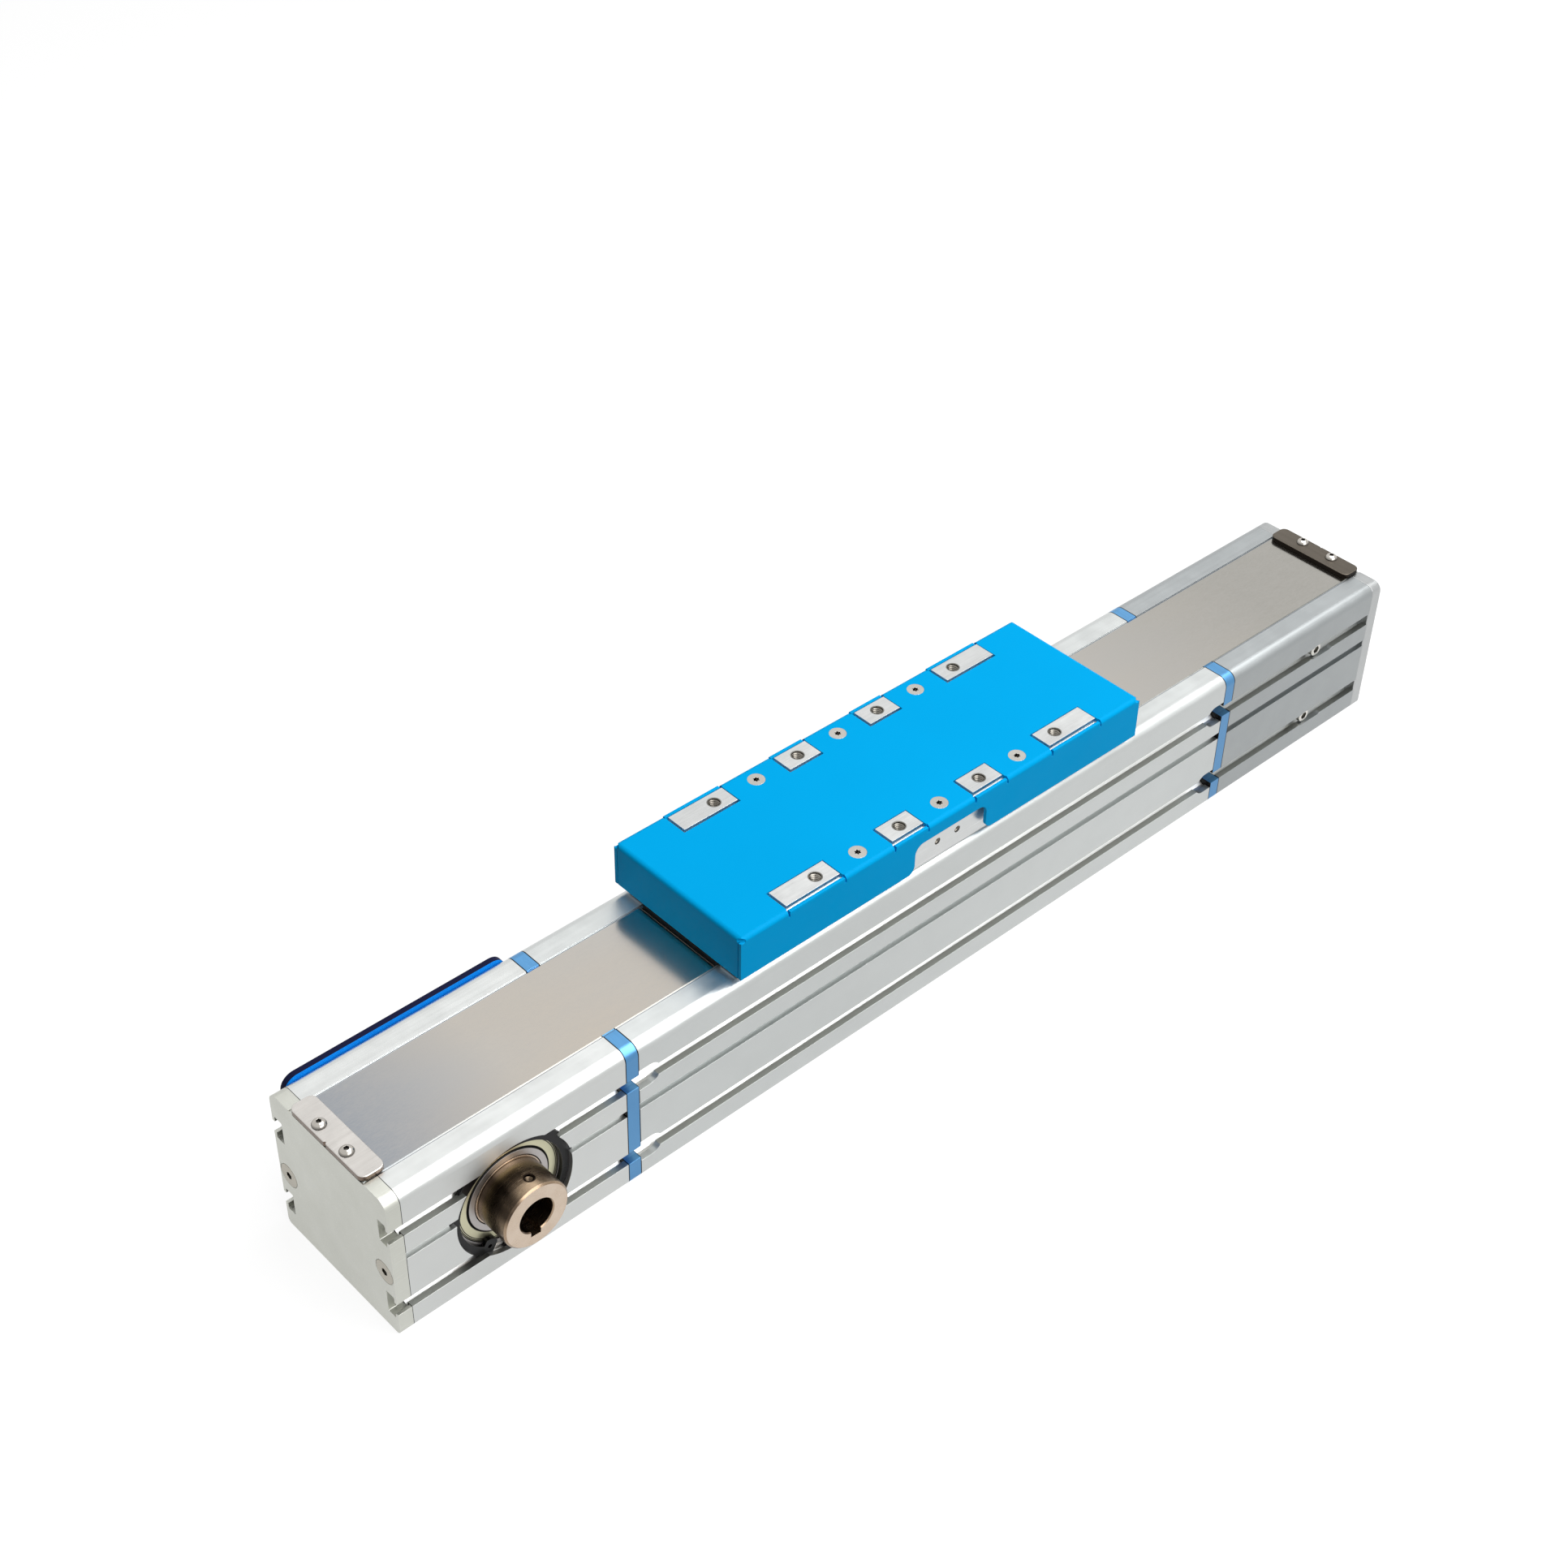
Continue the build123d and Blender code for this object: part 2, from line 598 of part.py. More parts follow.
# ---- cover strip ----
def flat_strip(start, end):
    """A flat length of the cover strip, lying in its bed."""
    half = STRIP_WIDTH / 2
    return block((start, end), (-half, half), (RECESS_FLOOR, RECESS_FLOOR + STRIP_T))


def strip_end(sign):
    """Flat strip from one end clamp to the carriage."""
    end_x = sign * (END_X - STRIP_END_MARGIN)
    near = CARRIAGE_X + sign * (COVER_LENGTH / 2 + 0.1)
    strip = flat_strip(min(end_x, near), max(end_x, near))
    for side in (-1, 1):
        hole = Cylinder(M4_R + 0.2, 4)
        strip -= Pos(sign * (END_X - CLAMP_SCREW_X), side * CLAMP_SCREW_SPACING / 2, RECESS_FLOOR) * hole
    return strip


def rise_arcs(shift):
    """The two arcs of the strip's rise in the carriage, moved down by shift, outer end first."""
    turn = degrees(STRIP_TURN)
    first = CenterArc((STRIP_RISE_START, STRIP_LOW_Z + STRIP_RISE_R), STRIP_RISE_R + shift, 270, -turn)
    second = CenterArc((STRIP_RISE_START - STRIP_RUN, STRIP_CREST_Z - STRIP_RISE_R),
                       STRIP_RISE_R - shift, 90 - turn, turn)
    return first, second


def strip_wave():
    """The part of the strip that the carriage lifts over its bridge."""
    upper, lower = rise_arcs(-STRIP_T / 2), rise_arcs(STRIP_T / 2)
    end = COVER_LENGTH / 2
    edges = [*upper, *lower]
    for outer, inner in (upper, lower):
        edges += [Line(outer @ 0, (end, (outer @ 0).Y)), Line(inner @ 1, (0, (inner @ 1).Y))]
    edges += [Line((end, (upper[0] @ 0).Y), (end, (lower[0] @ 0).Y)),
              Line((0, (upper[1] @ 1).Y), (0, (lower[1] @ 1).Y))]
    half = across_y(make_face(Curve() + edges), -STRIP_WIDTH / 2, STRIP_WIDTH / 2)
    return Pos(CARRIAGE_X, 0, 0) * (half + mirror(half, about=Plane.YZ))


def strip_ramp(sign):
    """Slide block that carries the strip up to the bridge at one end of the carriage."""
    first, second = rise_arcs(STRIP_T / 2)
    crest, foot = second @ 1, first @ 0
    under = make_face(Curve() + [first, second, Polyline(crest, (0, crest.Y), (0, 0), (foot.X, 0), foot)])
    start = BRIDGE_LENGTH / 2
    face = under & rect((start, start + RAMP_LENGTH), (CARRIAGE_BOTTOM, crest.Y))
    half = STRIP_CHANNEL_WIDTH / 2
    ramp = Pos(CARRIAGE_X, 0, 0) * across_y(face, -half, half)
    return ramp if sign > 0 else Pos(2 * CARRIAGE_X, 0, 0) * mirror(ramp, about=Plane.YZ)


def bridge_liner():
    """Low-friction liner between the bridge and the strip."""
    half = BRIDGE_LENGTH / 2 - LINER_SETBACK
    return block((CARRIAGE_X - half, CARRIAGE_X + half), (-STRIP_WIDTH / 2, STRIP_WIDTH / 2),
                 (BRIDGE_TOP, BRIDGE_TOP + LINER_T))


def strip_clamp(sign):
    """Stainless plate that clamps the end of the strip on the end plate."""
    centre = sign * (END_X - CLAMP_LENGTH / 2)
    plate = up_z(Pos(centre, 0) * RectangleRounded(CLAMP_LENGTH, CLAMP_WIDTH, CLAMP_CORNER_R),
                 PROFILE_HEIGHT, PROFILE_HEIGHT + CLAMP_T)
    plate = chamfer(plate.edges().group_by(Axis.Z)[-1], CLAMP_EDGE)
    nick = Pos(sign * END_X, 0, PROFILE_HEIGHT) * Rot(0, 0, 45) * Box(CLAMP_NICK, CLAMP_NICK, 3 * CLAMP_T)
    plate -= nick
    for side in (-1, 1):
        hole = Cylinder(M4_R + 0.2, 4 * CLAMP_T)
        plate -= Pos(sign * (END_X - CLAMP_SCREW_X), side * CLAMP_SCREW_SPACING / 2, PROFILE_HEIGHT) * hole
    return plate


def strip_clamp_screws():
    """The button head screws of both strip clamps."""
    screw = button_screw(M4_R, M4_BUTTON_R, M4_BUTTON_H, CLAMP_SCREW_LENGTH, M4_BUTTON_SOCKET_R)
    spots = [(sign * (END_X - CLAMP_SCREW_X), side * CLAMP_SCREW_SPACING / 2)
             for sign in (-1, 1) for side in (-1, 1)]
    return [Pos(x, y, PROFILE_HEIGHT + CLAMP_T) * screw for x, y in spots]


def magnet_tapes():
    """Magnetic tapes beside the top opening that hold the strip down."""
    y0 = TOP_OPENING_WIDTH / 2 + MAGNET_INSET
    width = y0 + FIT, y0 + MAGNET_WIDTH - FIT
    tape = block((-JOINT_X, JOINT_X), width, (RECESS_FLOOR - MAGNET_T, RECESS_FLOOR))
    return mirrored(tape, Plane.XZ)


# ---- belt and pulleys ----
def tooth_at(x, z, foot=BELT_TOOTH_FOOT, tip=BELT_TOOTH_TIP, height=BELT_TOOTH_HEIGHT, down=-1):
    """Flat section of one straight belt tooth whose foot is centred on (x, z)."""
    end = z + down * height
    return [(x - foot / 2, z), (x - tip / 2, end), (x + tip / 2, end), (x + foot / 2, z)]


def straight_run(start, end, first_tooth, upper=True):
    """Section of a straight toothed run in (X, Z), with teeth on a pitch from first_tooth."""
    down = -1 if upper else 1
    land = PULLEY_Z - down * BELT_LAND_R
    back = land - down * BELT_BACK_T
    points = [(start, back), (start, land)]
    index = int((start - first_tooth) // BELT_PITCH)
    while first_tooth + index * BELT_PITCH < end:
        x = first_tooth + index * BELT_PITCH
        if x - BELT_TOOTH_FOOT / 2 > start and x + BELT_TOOTH_FOOT / 2 < end:
            points += tooth_at(x, land, down=down)
        index += 1
    points += [(end, land), (end, back)]
    return Polygon(*points, align=None)


def wrap(centre, side, phase):
    """Section of the belt round one pulley, side -1 at the drive end, with teeth from angle phase."""
    reach = BELT_BACK_R + 1
    half_plane = rect(sorted((centre, centre + side * reach)), (PULLEY_Z - reach, PULLEY_Z + reach))
    band = Pos(centre, PULLEY_Z) * (Circle(BELT_BACK_R) - Circle(BELT_LAND_R)) & half_plane
    step = 360 / PULLEY_TEETH
    tooth = Polygon((BELT_LAND_R + 0.3, -BELT_TOOTH_FOOT / 2), (BELT_LAND_R + 0.3, BELT_TOOTH_FOOT / 2),
                    (BELT_LAND_R - 0.15, BELT_TOOTH_FOOT / 2), (BELT_TIP_R, BELT_TOOTH_TIP / 2),
                    (BELT_TIP_R, -BELT_TOOTH_TIP / 2),
                    (BELT_LAND_R - 0.15, -BELT_TOOTH_FOOT / 2), align=None)
    angles = [90 - phase + i * step for i in range(PULLEY_TEETH)]
    kept = [a for a in angles if side * cos(radians(a)) > sin(radians(step / 2))]
    return band + [Pos(centre, PULLEY_Z) * Rot(0, 0, a) * tooth for a in kept]


def tail_phase():
    """Turn of the tail pulley that puts it in mesh with the belt."""
    return ((TAIL_X - DRIVE_X) % BELT_PITCH) / BELT_PITCH * 360 / PULLEY_TEETH


def belt_return():
    """Belt from the top of the drive pulley, round below and back up to the top of the tail pulley."""
    half = BELT_WIDTH / 2
    lower = straight_run(DRIVE_X, TAIL_X, DRIVE_X, upper=False)
    sections = [wrap(DRIVE_X, -1, 0), wrap(TAIL_X, 1, tail_phase()), lower]
    solids = [across_y(section, -half, half) for section in sections]
    return solids[0] + solids[1:]


def belt_run(sign):
    """Upper belt run between one pulley and the carriage."""
    pulley, first = (DRIVE_X, DRIVE_X) if sign < 0 else (TAIL_X, DRIVE_X)
    jaw = CARRIAGE_X + sign * (END_BLOCK_END + 0.1)
    half = BELT_WIDTH / 2
    return across_y(straight_run(min(pulley, jaw), max(pulley, jaw), first), -half, half)


def belt_clamped_end(sign):
    """The end of the belt that lies between jaw and end block."""
    outer, inner = CARRIAGE_X + sign * END_BLOCK_END, CARRIAGE_X + sign * CLAMP_JAW_START
    half = BELT_WIDTH / 2
    return across_y(straight_run(min(outer, inner), max(outer, inner), DRIVE_X), -half, half)


def toothed_wheel(phase):
    """Section of the toothed pulley in (X, Z) about its centre, with a gap at the top."""
    root, mouth = BELT_TOOTH_TIP / 2 + TOOTH_PLAY, BELT_TOOTH_FOOT / 2 + 2 * TOOTH_PLAY
    gap = Polygon((PULLEY_ROOT_R, -root), (PULLEY_ROOT_R, root), (PULLEY_R + 1, mouth),
                  (PULLEY_R + 1, -mouth), align=None)
    step = 360 / PULLEY_TEETH
    return Circle(PULLEY_R) - [Rot(0, 0, 90 - phase + i * step) * gap for i in range(PULLEY_TEETH)]


def drive_shaft():
    """Hollow shaft and drive pulley in one piece, with keyway and set screw hole."""
    near_end, far_end = -(HALF_WIDTH + HUB_PROTRUSION), HALF_WIDTH - FAR_SHAFT_RECESS
    seat_r = BEARING_BORE / 2 - FIT
    half = PULLEY_FACE / 2
    shaft = across_y(toothed_wheel(0), -half, half)
    shaft += rod_y(SHAFT_COLLAR_R, -BEARING_BACK, BEARING_BACK)
    shaft += rod_y(seat_r, -BEARING_FACE, BEARING_FACE)
    hub = chamfer(rod_y(HUB_R, near_end, far_end).edges().filter_by(GeomType.CIRCLE), HUB_CHAMFER)
    shaft += hub
    shaft -= chamfer_bore(HOLLOW_BORE_R, near_end, far_end)
    half_key = KEYWAY_WIDTH / 2
    key = block((-half_key, half_key), (near_end - 1, far_end + 1), (-HOLLOW_BORE_R - KEYWAY_DEPTH, 0))
    screw = Pos(0, near_end + SET_SCREW_FROM_END, HUB_R / 2 + 2) * Cylinder(SET_SCREW_R, HUB_R + 4)
    shaft -= Rot(0, KEYWAY_TURN, 0) * (key + screw)
    return Pos(DRIVE_X, 0, PULLEY_Z) * shaft


def chamfer_bore(radius, low, high):
    """Cutter for a through bore along Y with chamfered mouths."""
    edge = BORE_CHAMFER
    section = Polygon((0, low - edge), (radius + 2 * edge, low - edge), (radius, low + edge),
                      (radius, high - edge), (radius + 2 * edge, high + edge), (0, high + edge), align=None)
    return revolve(Plane.XY * section, Axis.Y)


def pulley_flanges(centre, bore):
    """The two guide discs beside a pulley."""
    half = PULLEY_FACE / 2
    disc = ring(bore, FLANGE_R, half, half + FLANGE_T)
    return [Pos(centre, 0, PULLEY_Z) * solid for solid in mirrored(disc, Plane.XZ)]


def drive_bearing(side, part):
    """One piece of a drive bearing: outer ring, inner ring or shields, side -1 is near."""
    low, high = BEARING_BACK, BEARING_FACE
    if part == "outer":
        solids = [ring(OUTER_RING_ID / 2, BEARING_OD / 2, low, high, RING_CHAMFER)]
    elif part == "inner":
        solids = [ring(BEARING_BORE / 2, INNER_RING_OD / 2, low, high, RING_CHAMFER)]
    else:
        inner, outer = INNER_RING_OD / 2 + SHIELD_GAP, OUTER_RING_ID / 2
        solids = [ring(inner, outer, high - SHIELD_DEPTH - SHIELD_T, high - SHIELD_DEPTH),
                  ring(inner, outer, low + SHIELD_DEPTH, low + SHIELD_DEPTH + SHIELD_T)]
    placed = [Pos(DRIVE_X, 0, PULLEY_Z) * solid for solid in solids]
    return placed if side > 0 else [mirror(solid, about=Plane.XZ) for solid in placed]


def circlip(side):
    """Retaining ring in front of a drive bearing, with its two eared ends."""
    face = Circle(CIRCLIP_R) - Pos(CIRCLIP_OFFSET, 0) * Circle(CIRCLIP_INNER_R)
    half_gap = CIRCLIP_R * sin(radians(CIRCLIP_LUG_ANGLE / 2))
    face -= rect((0, CIRCLIP_R + 1), (-half_gap, half_gap))
    places = [Rot(0, 0, sign * CIRCLIP_LUG_ANGLE) * Pos(CIRCLIP_R - CIRCLIP_LUG_IN, 0) for sign in (-1, 1)]
    lug = RectangleRounded(CIRCLIP_LUG_LENGTH, CIRCLIP_LUG_WIDTH, CIRCLIP_LUG_R)
    for place in places:
        face += place * lug & Circle(CIRCLIP_R)
    for place in places:
        face -= place * Circle(CIRCLIP_HOLE_R)
    outer = HALF_WIDTH - CIRCLIP_DEPTH
    body = across_y(Rot(0, 0, CIRCLIP_GAP_ANGLE) * face, -outer, -outer + CIRCLIP_T)
    body = Pos(DRIVE_X, 0, PULLEY_Z) * body
    return body if side < 0 else mirror(body, about=Plane.XZ)


def tail_pulley():
    """Tail pulley with seats for its two bearings."""
    half = PULLEY_FACE / 2
    body = across_y(toothed_wheel(tail_phase()), -half, half)
    body += rod_y(PULLEY_ROOT_R, -FLANGE_OUT, FLANGE_OUT)
    inner_r = TAIL_BEARING_R - TAIL_BEARING_SHOULDER
    body -= rod_y(inner_r, -FLANGE_OUT - 1, FLANGE_OUT + 1)
    low = FLANGE_OUT - TAIL_BEARING_INSET - TAIL_BEARING_WIDTH
    body -= mirrored(rod_y(TAIL_BEARING_R + FIT, low, FLANGE_OUT + 1), Plane.XZ)
    return Pos(TAIL_X, 0, PULLEY_Z) * body


def tail_bearings(part):
    """The rings of both tail bearings: the outer ones turn, the inner ones sit on the axle."""
    low = FLANGE_OUT - TAIL_BEARING_INSET - TAIL_BEARING_WIDTH
    high = low + TAIL_BEARING_WIDTH
    inner_wall = AXLE_R + TAIL_RING_WALL
    radii = (AXLE_R, inner_wall) if part == "inner" else (inner_wall + SHIELD_GAP, TAIL_BEARING_R)
    solid = ring(*radii, low, high, 0.3)
    return [Pos(TAIL_X, 0, PULLEY_Z) * piece for piece in mirrored(solid, Plane.XZ)]


def tail_axle():
    """Fixed axle between the cheeks of the yoke."""
    half = CHEEK_OUTER - 0.5
    axle = chamfer(rod_y(AXLE_R - FIT, -half, half).edges().filter_by(GeomType.CIRCLE), BORE_CHAMFER)
    return Pos(TAIL_X, 0, PULLEY_Z) * axle


def tension_yoke():
    """Fork that carries the tail axle and slides in the tail head when the belt is tightened."""
    x0, x1 = TAIL_X - YOKE_FRONT, TAIL_X + YOKE_WEB_START + YOKE_WEB_T
    side = rect((x0, x1), (BASE_WALL + YOKE_LOW_GAP, CHAMBER_TOP - YOKE_HIGH_GAP))
    side = fillet(side.vertices(), YOKE_CORNER_R)
    side -= Pos(TAIL_X, PULLEY_Z) * Circle(AXLE_R)
    side -= [Pos(TAIL_X, height) * Circle(M6_R + FIT) for height in SLOT_HEIGHTS]
    cheek = across_y(side, CHEEK_INNER, CHEEK_OUTER)
    half = YOKE_WEB_HEIGHT / 2
    web = block((x1 - YOKE_WEB_T, x1), (-CHEEK_INNER, CHEEK_INNER), (PULLEY_Z - half, PULLEY_Z + half))
    for sign in (-1, 1):
        web -= Pos(0, sign * TENSION_SCREW_Y, PULLEY_Z) * rod_x(M6_R + FIT, x1 - YOKE_WEB_T - 1, x1 + 1)
    return cheek + mirror(cheek, about=Plane.XZ) + web


def tension_screws():
    """The two screws in the tail end plate that pull the yoke."""
    length = END_X - TAIL_X - YOKE_WEB_START
    screw = csk_screw(M6_R, M6_CSK_R, length, RegularPolygon(M6_CSK_SOCKET_R, 6))
    return [Pos(END_X, sign * TENSION_SCREW_Y, PULLEY_Z) * Rot(0, 90, 0) * screw for sign in (-1, 1)]


def yoke_bolts():
    """Bolts that clamp the yoke through the slot pockets, each with a spacer on the slot floor."""
    floor = HALF_WIDTH - SLOT_DEPTH
    seat = floor + CLAMP_SPACER_T
    bolt = cap_screw(M6_R, YOKE_HEAD_R, YOKE_HEAD_H, seat - CHEEK_INNER, YOKE_SOCKET_R)
    solids = []
    for height in SLOT_HEIGHTS:
        spacer = Pos(TAIL_X, 0, height) * ring(M6_R + FIT, YOKE_HEAD_R, floor, seat)
        solids += mirrored(spacer, Plane.XZ)
        solids += mirrored(Pos(TAIL_X, seat, height) * Rot(-90, 0, 0) * bolt, Plane.XZ)
    return solids


# ---- rail and runner blocks ----
def linear_rail():
    """Profiled rail with ball tracks and counterbored holes."""
    half, top = RAIL_WIDTH / 2, WEB_TOP + RAIL_HEIGHT
    low, high = RAIL_TRACK_Z - RAIL_TRACK_LAND, RAIL_TRACK_Z + RAIL_TRACK_LAND
    right = [(half, WEB_TOP), (half, WEB_TOP + low - RAIL_TRACK), (half - RAIL_TRACK, WEB_TOP + low),
             (half - RAIL_TRACK, WEB_TOP + high), (half, WEB_TOP + high + RAIL_TRACK),
             (half, top - RAIL_EDGE), (half - RAIL_EDGE, top)]
    left = [(-y, z) for y, z in reversed(right)]
    length = JOINT_X - RAIL_END_GAP
    rail = along_x(Polygon(*right, *left, align=None), -length, length)
    for x in rail_hole_xs():
        rail -= Pos(x, 0, WEB_TOP + RAIL_HEIGHT / 2) * Cylinder(M5_R + SCREW_CLEARANCE, RAIL_HEIGHT + 2)
        rail -= Pos(x, 0, top) * Cylinder(M5_HEAD_R + SCREW_CLEARANCE, 2 * RAIL_COUNTERBORE)
    return rail


def rail_hole_xs():
    """Positions of the rail holes along X."""
    return [RAIL_HOLE_PITCH * (i - (RAIL_HOLES - 1) / 2) for i in range(RAIL_HOLES)]


def rail_screws():
    """Cylinder head screws that hold the rail on the web."""
    seat = RAIL_HEIGHT - RAIL_COUNTERBORE
    screw = cap_screw(M5_R, M5_HEAD_R, M5_HEAD_H, seat + WEB_THICKNESS - SCREW_CLEARANCE, M5_SOCKET_R)
    return [Pos(x, 0, WEB_TOP + seat) * screw for x in rail_hole_xs()]


def runner_section(side_play):
    """Section of a runner block around the rail."""
    half, bottom = RUNNER_WIDTH / 2, WEB_TOP + RUNNER_GROUND
    inner, top = RAIL_WIDTH / 2 + side_play, WEB_TOP + RAIL_HEIGHT + side_play
    face = rect((-half, half), (bottom, RUNNER_TOP)) - rect((-inner, inner), (bottom - 1, top))
    return chamfer(face.vertices().group_by(Axis.Y)[-1], RAIL_EDGE)


def runner_block(sign):
    """Steel body of one runner block."""
    centre = CARRIAGE_X + sign * RUNNER_X
    half = RUNNER_BODY_LENGTH / 2
    body = along_x(runner_section(RUNNER_PLAY), centre - half, centre + half)
    hole = Cylinder(M5_R + FIT, 2 * RUNNER_SCREW_DEPTH + 2)
    return body - [Pos(x, y, RUNNER_TOP) * hole for x, y in runner_screw_spots() if abs(x - centre) < half]


def runner_caps():
    """End caps of both runner blocks."""
    caps = []
    for centre in (CARRIAGE_X - RUNNER_X, CARRIAGE_X + RUNNER_X):
        for sign in (-1, 1):
            inner = centre + sign * RUNNER_BODY_LENGTH / 2
            outer = inner + sign * RUNNER_CAP_LENGTH
            half, top = RUNNER_WIDTH / 2 - RUNNER_CAP_STEP, RUNNER_TOP - RUNNER_CAP_STEP
            section = runner_section(RUNNER_PLAY) & rect((-half, half), (0, top))
            caps.append(along_x(section, min(inner, outer), max(inner, outer)))
    return caps


def runner_screw_spots():
    """Places of the screws between the saddle foot and both runner blocks."""
    steps = (-RUNNER_SCREW_X, RUNNER_SCREW_X)
    xs = [CARRIAGE_X + sign * RUNNER_X + step for sign in (-1, 1) for step in steps]
    return [(x, y) for x in xs for y in (-RUNNER_SCREW_Y, RUNNER_SCREW_Y)]


def runner_screws():
    """Screws from the saddle foot into the runner blocks."""
    screw = cap_screw(M5_R, M5_HEAD_R, M5_HEAD_H, FOOT_T + RUNNER_SCREW_DEPTH, M5_SOCKET_R)
    return [Pos(x, y, RUNNER_TOP + FOOT_T) * screw for x, y in runner_screw_spots()]


# ---- carriage ----
def pad_ranges():
    """X ranges of the four machined pads on one side, from the carriage centre."""
    ranges = [(x - INNER_PAD_LENGTH / 2, x + INNER_PAD_LENGTH / 2) for x in HOLE_XS[1:-1]]
    outer = HOLE_XS[-1] - OUTER_PAD_OVERHANG
    ranges.append((outer, outer + OUTER_PAD_LENGTH))
    ranges.insert(0, (-outer - OUTER_PAD_LENGTH, -outer))
    return ranges


def saddle():
    """Machined carriage body: two beams, the bridge under the strip, the neck and the foot."""
    channel, shoulder = STRIP_CHANNEL_WIDTH / 2, SADDLE_TOP
    half, ledge = SADDLE_LENGTH / 2, SADDLE_TOP - LEDGE_THICKNESS
    beam = Polygon((channel, CARRIAGE_BOTTOM), (SADDLE_SIDE, CARRIAGE_BOTTOM), (SADDLE_SIDE, ledge),
                   (LEDGE_SIDE, ledge), (LEDGE_SIDE, shoulder - LEDGE_CHAMFER),
                   (LEDGE_SIDE - LEDGE_CHAMFER, shoulder), (channel, shoulder), align=None)
    body = along_x(beam, -half, half)
    y0, y1 = PAD_Y - PAD_WIDTH / 2, PAD_Y + PAD_WIDTH / 2
    for start, end in pad_ranges():
        body += block((start, end), (y0, y1), (shoulder, PAD_TOP))
    for x in HOLE_XS:
        body -= Pos(x, PAD_Y, PAD_TOP - HOLE_DEPTH / 2 + 1) * Cylinder(HOLE_R, HOLE_DEPTH + 2)
    for x in COVER_SCREW_XS:
        body -= Pos(x, PAD_Y, COVER_TOP) * csk_hole(M5_R, M5_CSK_R, COVER_SCREW_LENGTH + 2, COVER_SCREW_PLAY)
    body = body + mirror(body, about=Plane.XZ)
    side_hole = rod_y(SIDE_HOLE_R, SADDLE_SIDE - SIDE_HOLE_DEPTH, SADDLE_SIDE + 1)
    far_holes = [Pos(-x, 0, COVER_TOP - SIDE_HOLE_DROP) * side_hole for x in SIDE_HOLE_X]
    body -= far_holes
    body -= [Rot(0, 0, 180) * hole for hole in far_holes]
    bridge = BRIDGE_LENGTH / 2
    body += block((-bridge, bridge), (-channel, channel), (BRIDGE_BOTTOM, BRIDGE_TOP))
    neck, length = NECK_WIDTH / 2, NECK_LENGTH / 2
    neck_end = bridge - NECK_END_SETBACK
    body += block((-neck_end, neck_end), (-neck, neck), (RUNNER_TOP, BRIDGE_BOTTOM))
    body += block((-length, length), (-neck, neck), (RUNNER_TOP, CHAMBER_TOP + NECK_LOW_RISE))
    foot = RUNNER_WIDTH / 2
    body += block((-length, length), (-foot, foot), (RUNNER_TOP, RUNNER_TOP + FOOT_T))
    width = END_BLOCK_WIDTH / 2
    for sign in (-1, 1):
        ends = sorted((sign * END_BLOCK_START, sign * END_BLOCK_END))
        body += block(ends, (-width, width), (BELT_TOP_BACK, END_BLOCK_TOP))
        for x in jaw_screw_xs(sign):
            for side in (-1, 1):
                bore = Cylinder(M5_R + FIT, JAW_SCREW_LENGTH + 2)
                body -= Pos(x, side * JAW_SCREW_Y, BELT_TOP_BACK) * bore
    hole = Cylinder(M5_R + FIT, 2 * FOOT_T + 2)
    return Pos(CARRIAGE_X, 0, 0) * body - [Pos(x, y, RUNNER_TOP) * hole for x, y in runner_screw_spots()]


def jaw_screw_xs(sign):
    """Positions of the jaw screws from the carriage centre."""
    return [sign * (CLAMP_JAW_START + JAW_SCREW_EDGE), sign * (END_BLOCK_END - JAW_SCREW_EDGE)]


def belt_jaw(sign):
    """Toothed jaw that presses the end of the belt against the end block."""
    land = PULLEY_Z + BELT_LAND_R - 0.1
    start, end = sorted((sign * CLAMP_JAW_START, sign * END_BLOCK_END))
    low, half = BELT_TOP_TIP - CLAMP_JAW_T, END_BLOCK_WIDTH / 2
    jaw = block((start, end), (-half, half), (low, land))
    belt = BELT_WIDTH / 2 + JAW_PLAY
    first = (DRIVE_X - CARRIAGE_X) % BELT_PITCH
    index = int((start - first) // BELT_PITCH)
    while first + index * BELT_PITCH < end + BELT_PITCH:
        points = tooth_at(first + index * BELT_PITCH, land + 0.1, BELT_TOOTH_FOOT + 2 * JAW_PLAY,
                          BELT_TOOTH_TIP + 2 * JAW_PLAY, BELT_TOOTH_HEIGHT + JAW_PLAY)
        jaw -= across_y(Polygon(*points, align=None), -belt, belt)
        index += 1
    for side in (-1, 1):
        ear = sorted((side * belt, side * half))
        jaw += block((start, end), ear, (low, BELT_TOP_BACK))
        for x in jaw_screw_xs(sign):
            jaw -= Pos(x, side * JAW_SCREW_Y, low) * Cylinder(M5_R + FIT, 2 * JAW_SCREW_LENGTH)
    return Pos(CARRIAGE_X, 0, 0) * jaw


def jaw_screws():
    """Screws that pull the jaws up against the end blocks."""
    screw = Rot(180, 0, 0) * cap_screw(M5_R, M5_HEAD_R, M5_LOW_HEAD_H, JAW_SCREW_LENGTH, M5_SOCKET_R)
    low = BELT_TOP_TIP - CLAMP_JAW_T
    solids = []
    for sign in (-1, 1):
        for x in jaw_screw_xs(sign):
            solids += [Pos(CARRIAGE_X + x, side * JAW_SCREW_Y, low) * screw for side in (-1, 1)]
    return solids


def wiper(sign):
    """Plastic wiper between the beams that keeps the strip down at one end of the carriage."""
    half = STRIP_CHANNEL_WIDTH / 2 - 0.1
    start, end = sorted((sign * WIPER_START, sign * (WIPER_START + WIPER_LENGTH)))
    low = RECESS_FLOOR + STRIP_T + 2 * STRIP_LIFT
    body = block((start, end), (-half, half), (low, SADDLE_TOP))
    return Pos(CARRIAGE_X, 0, 0) * body


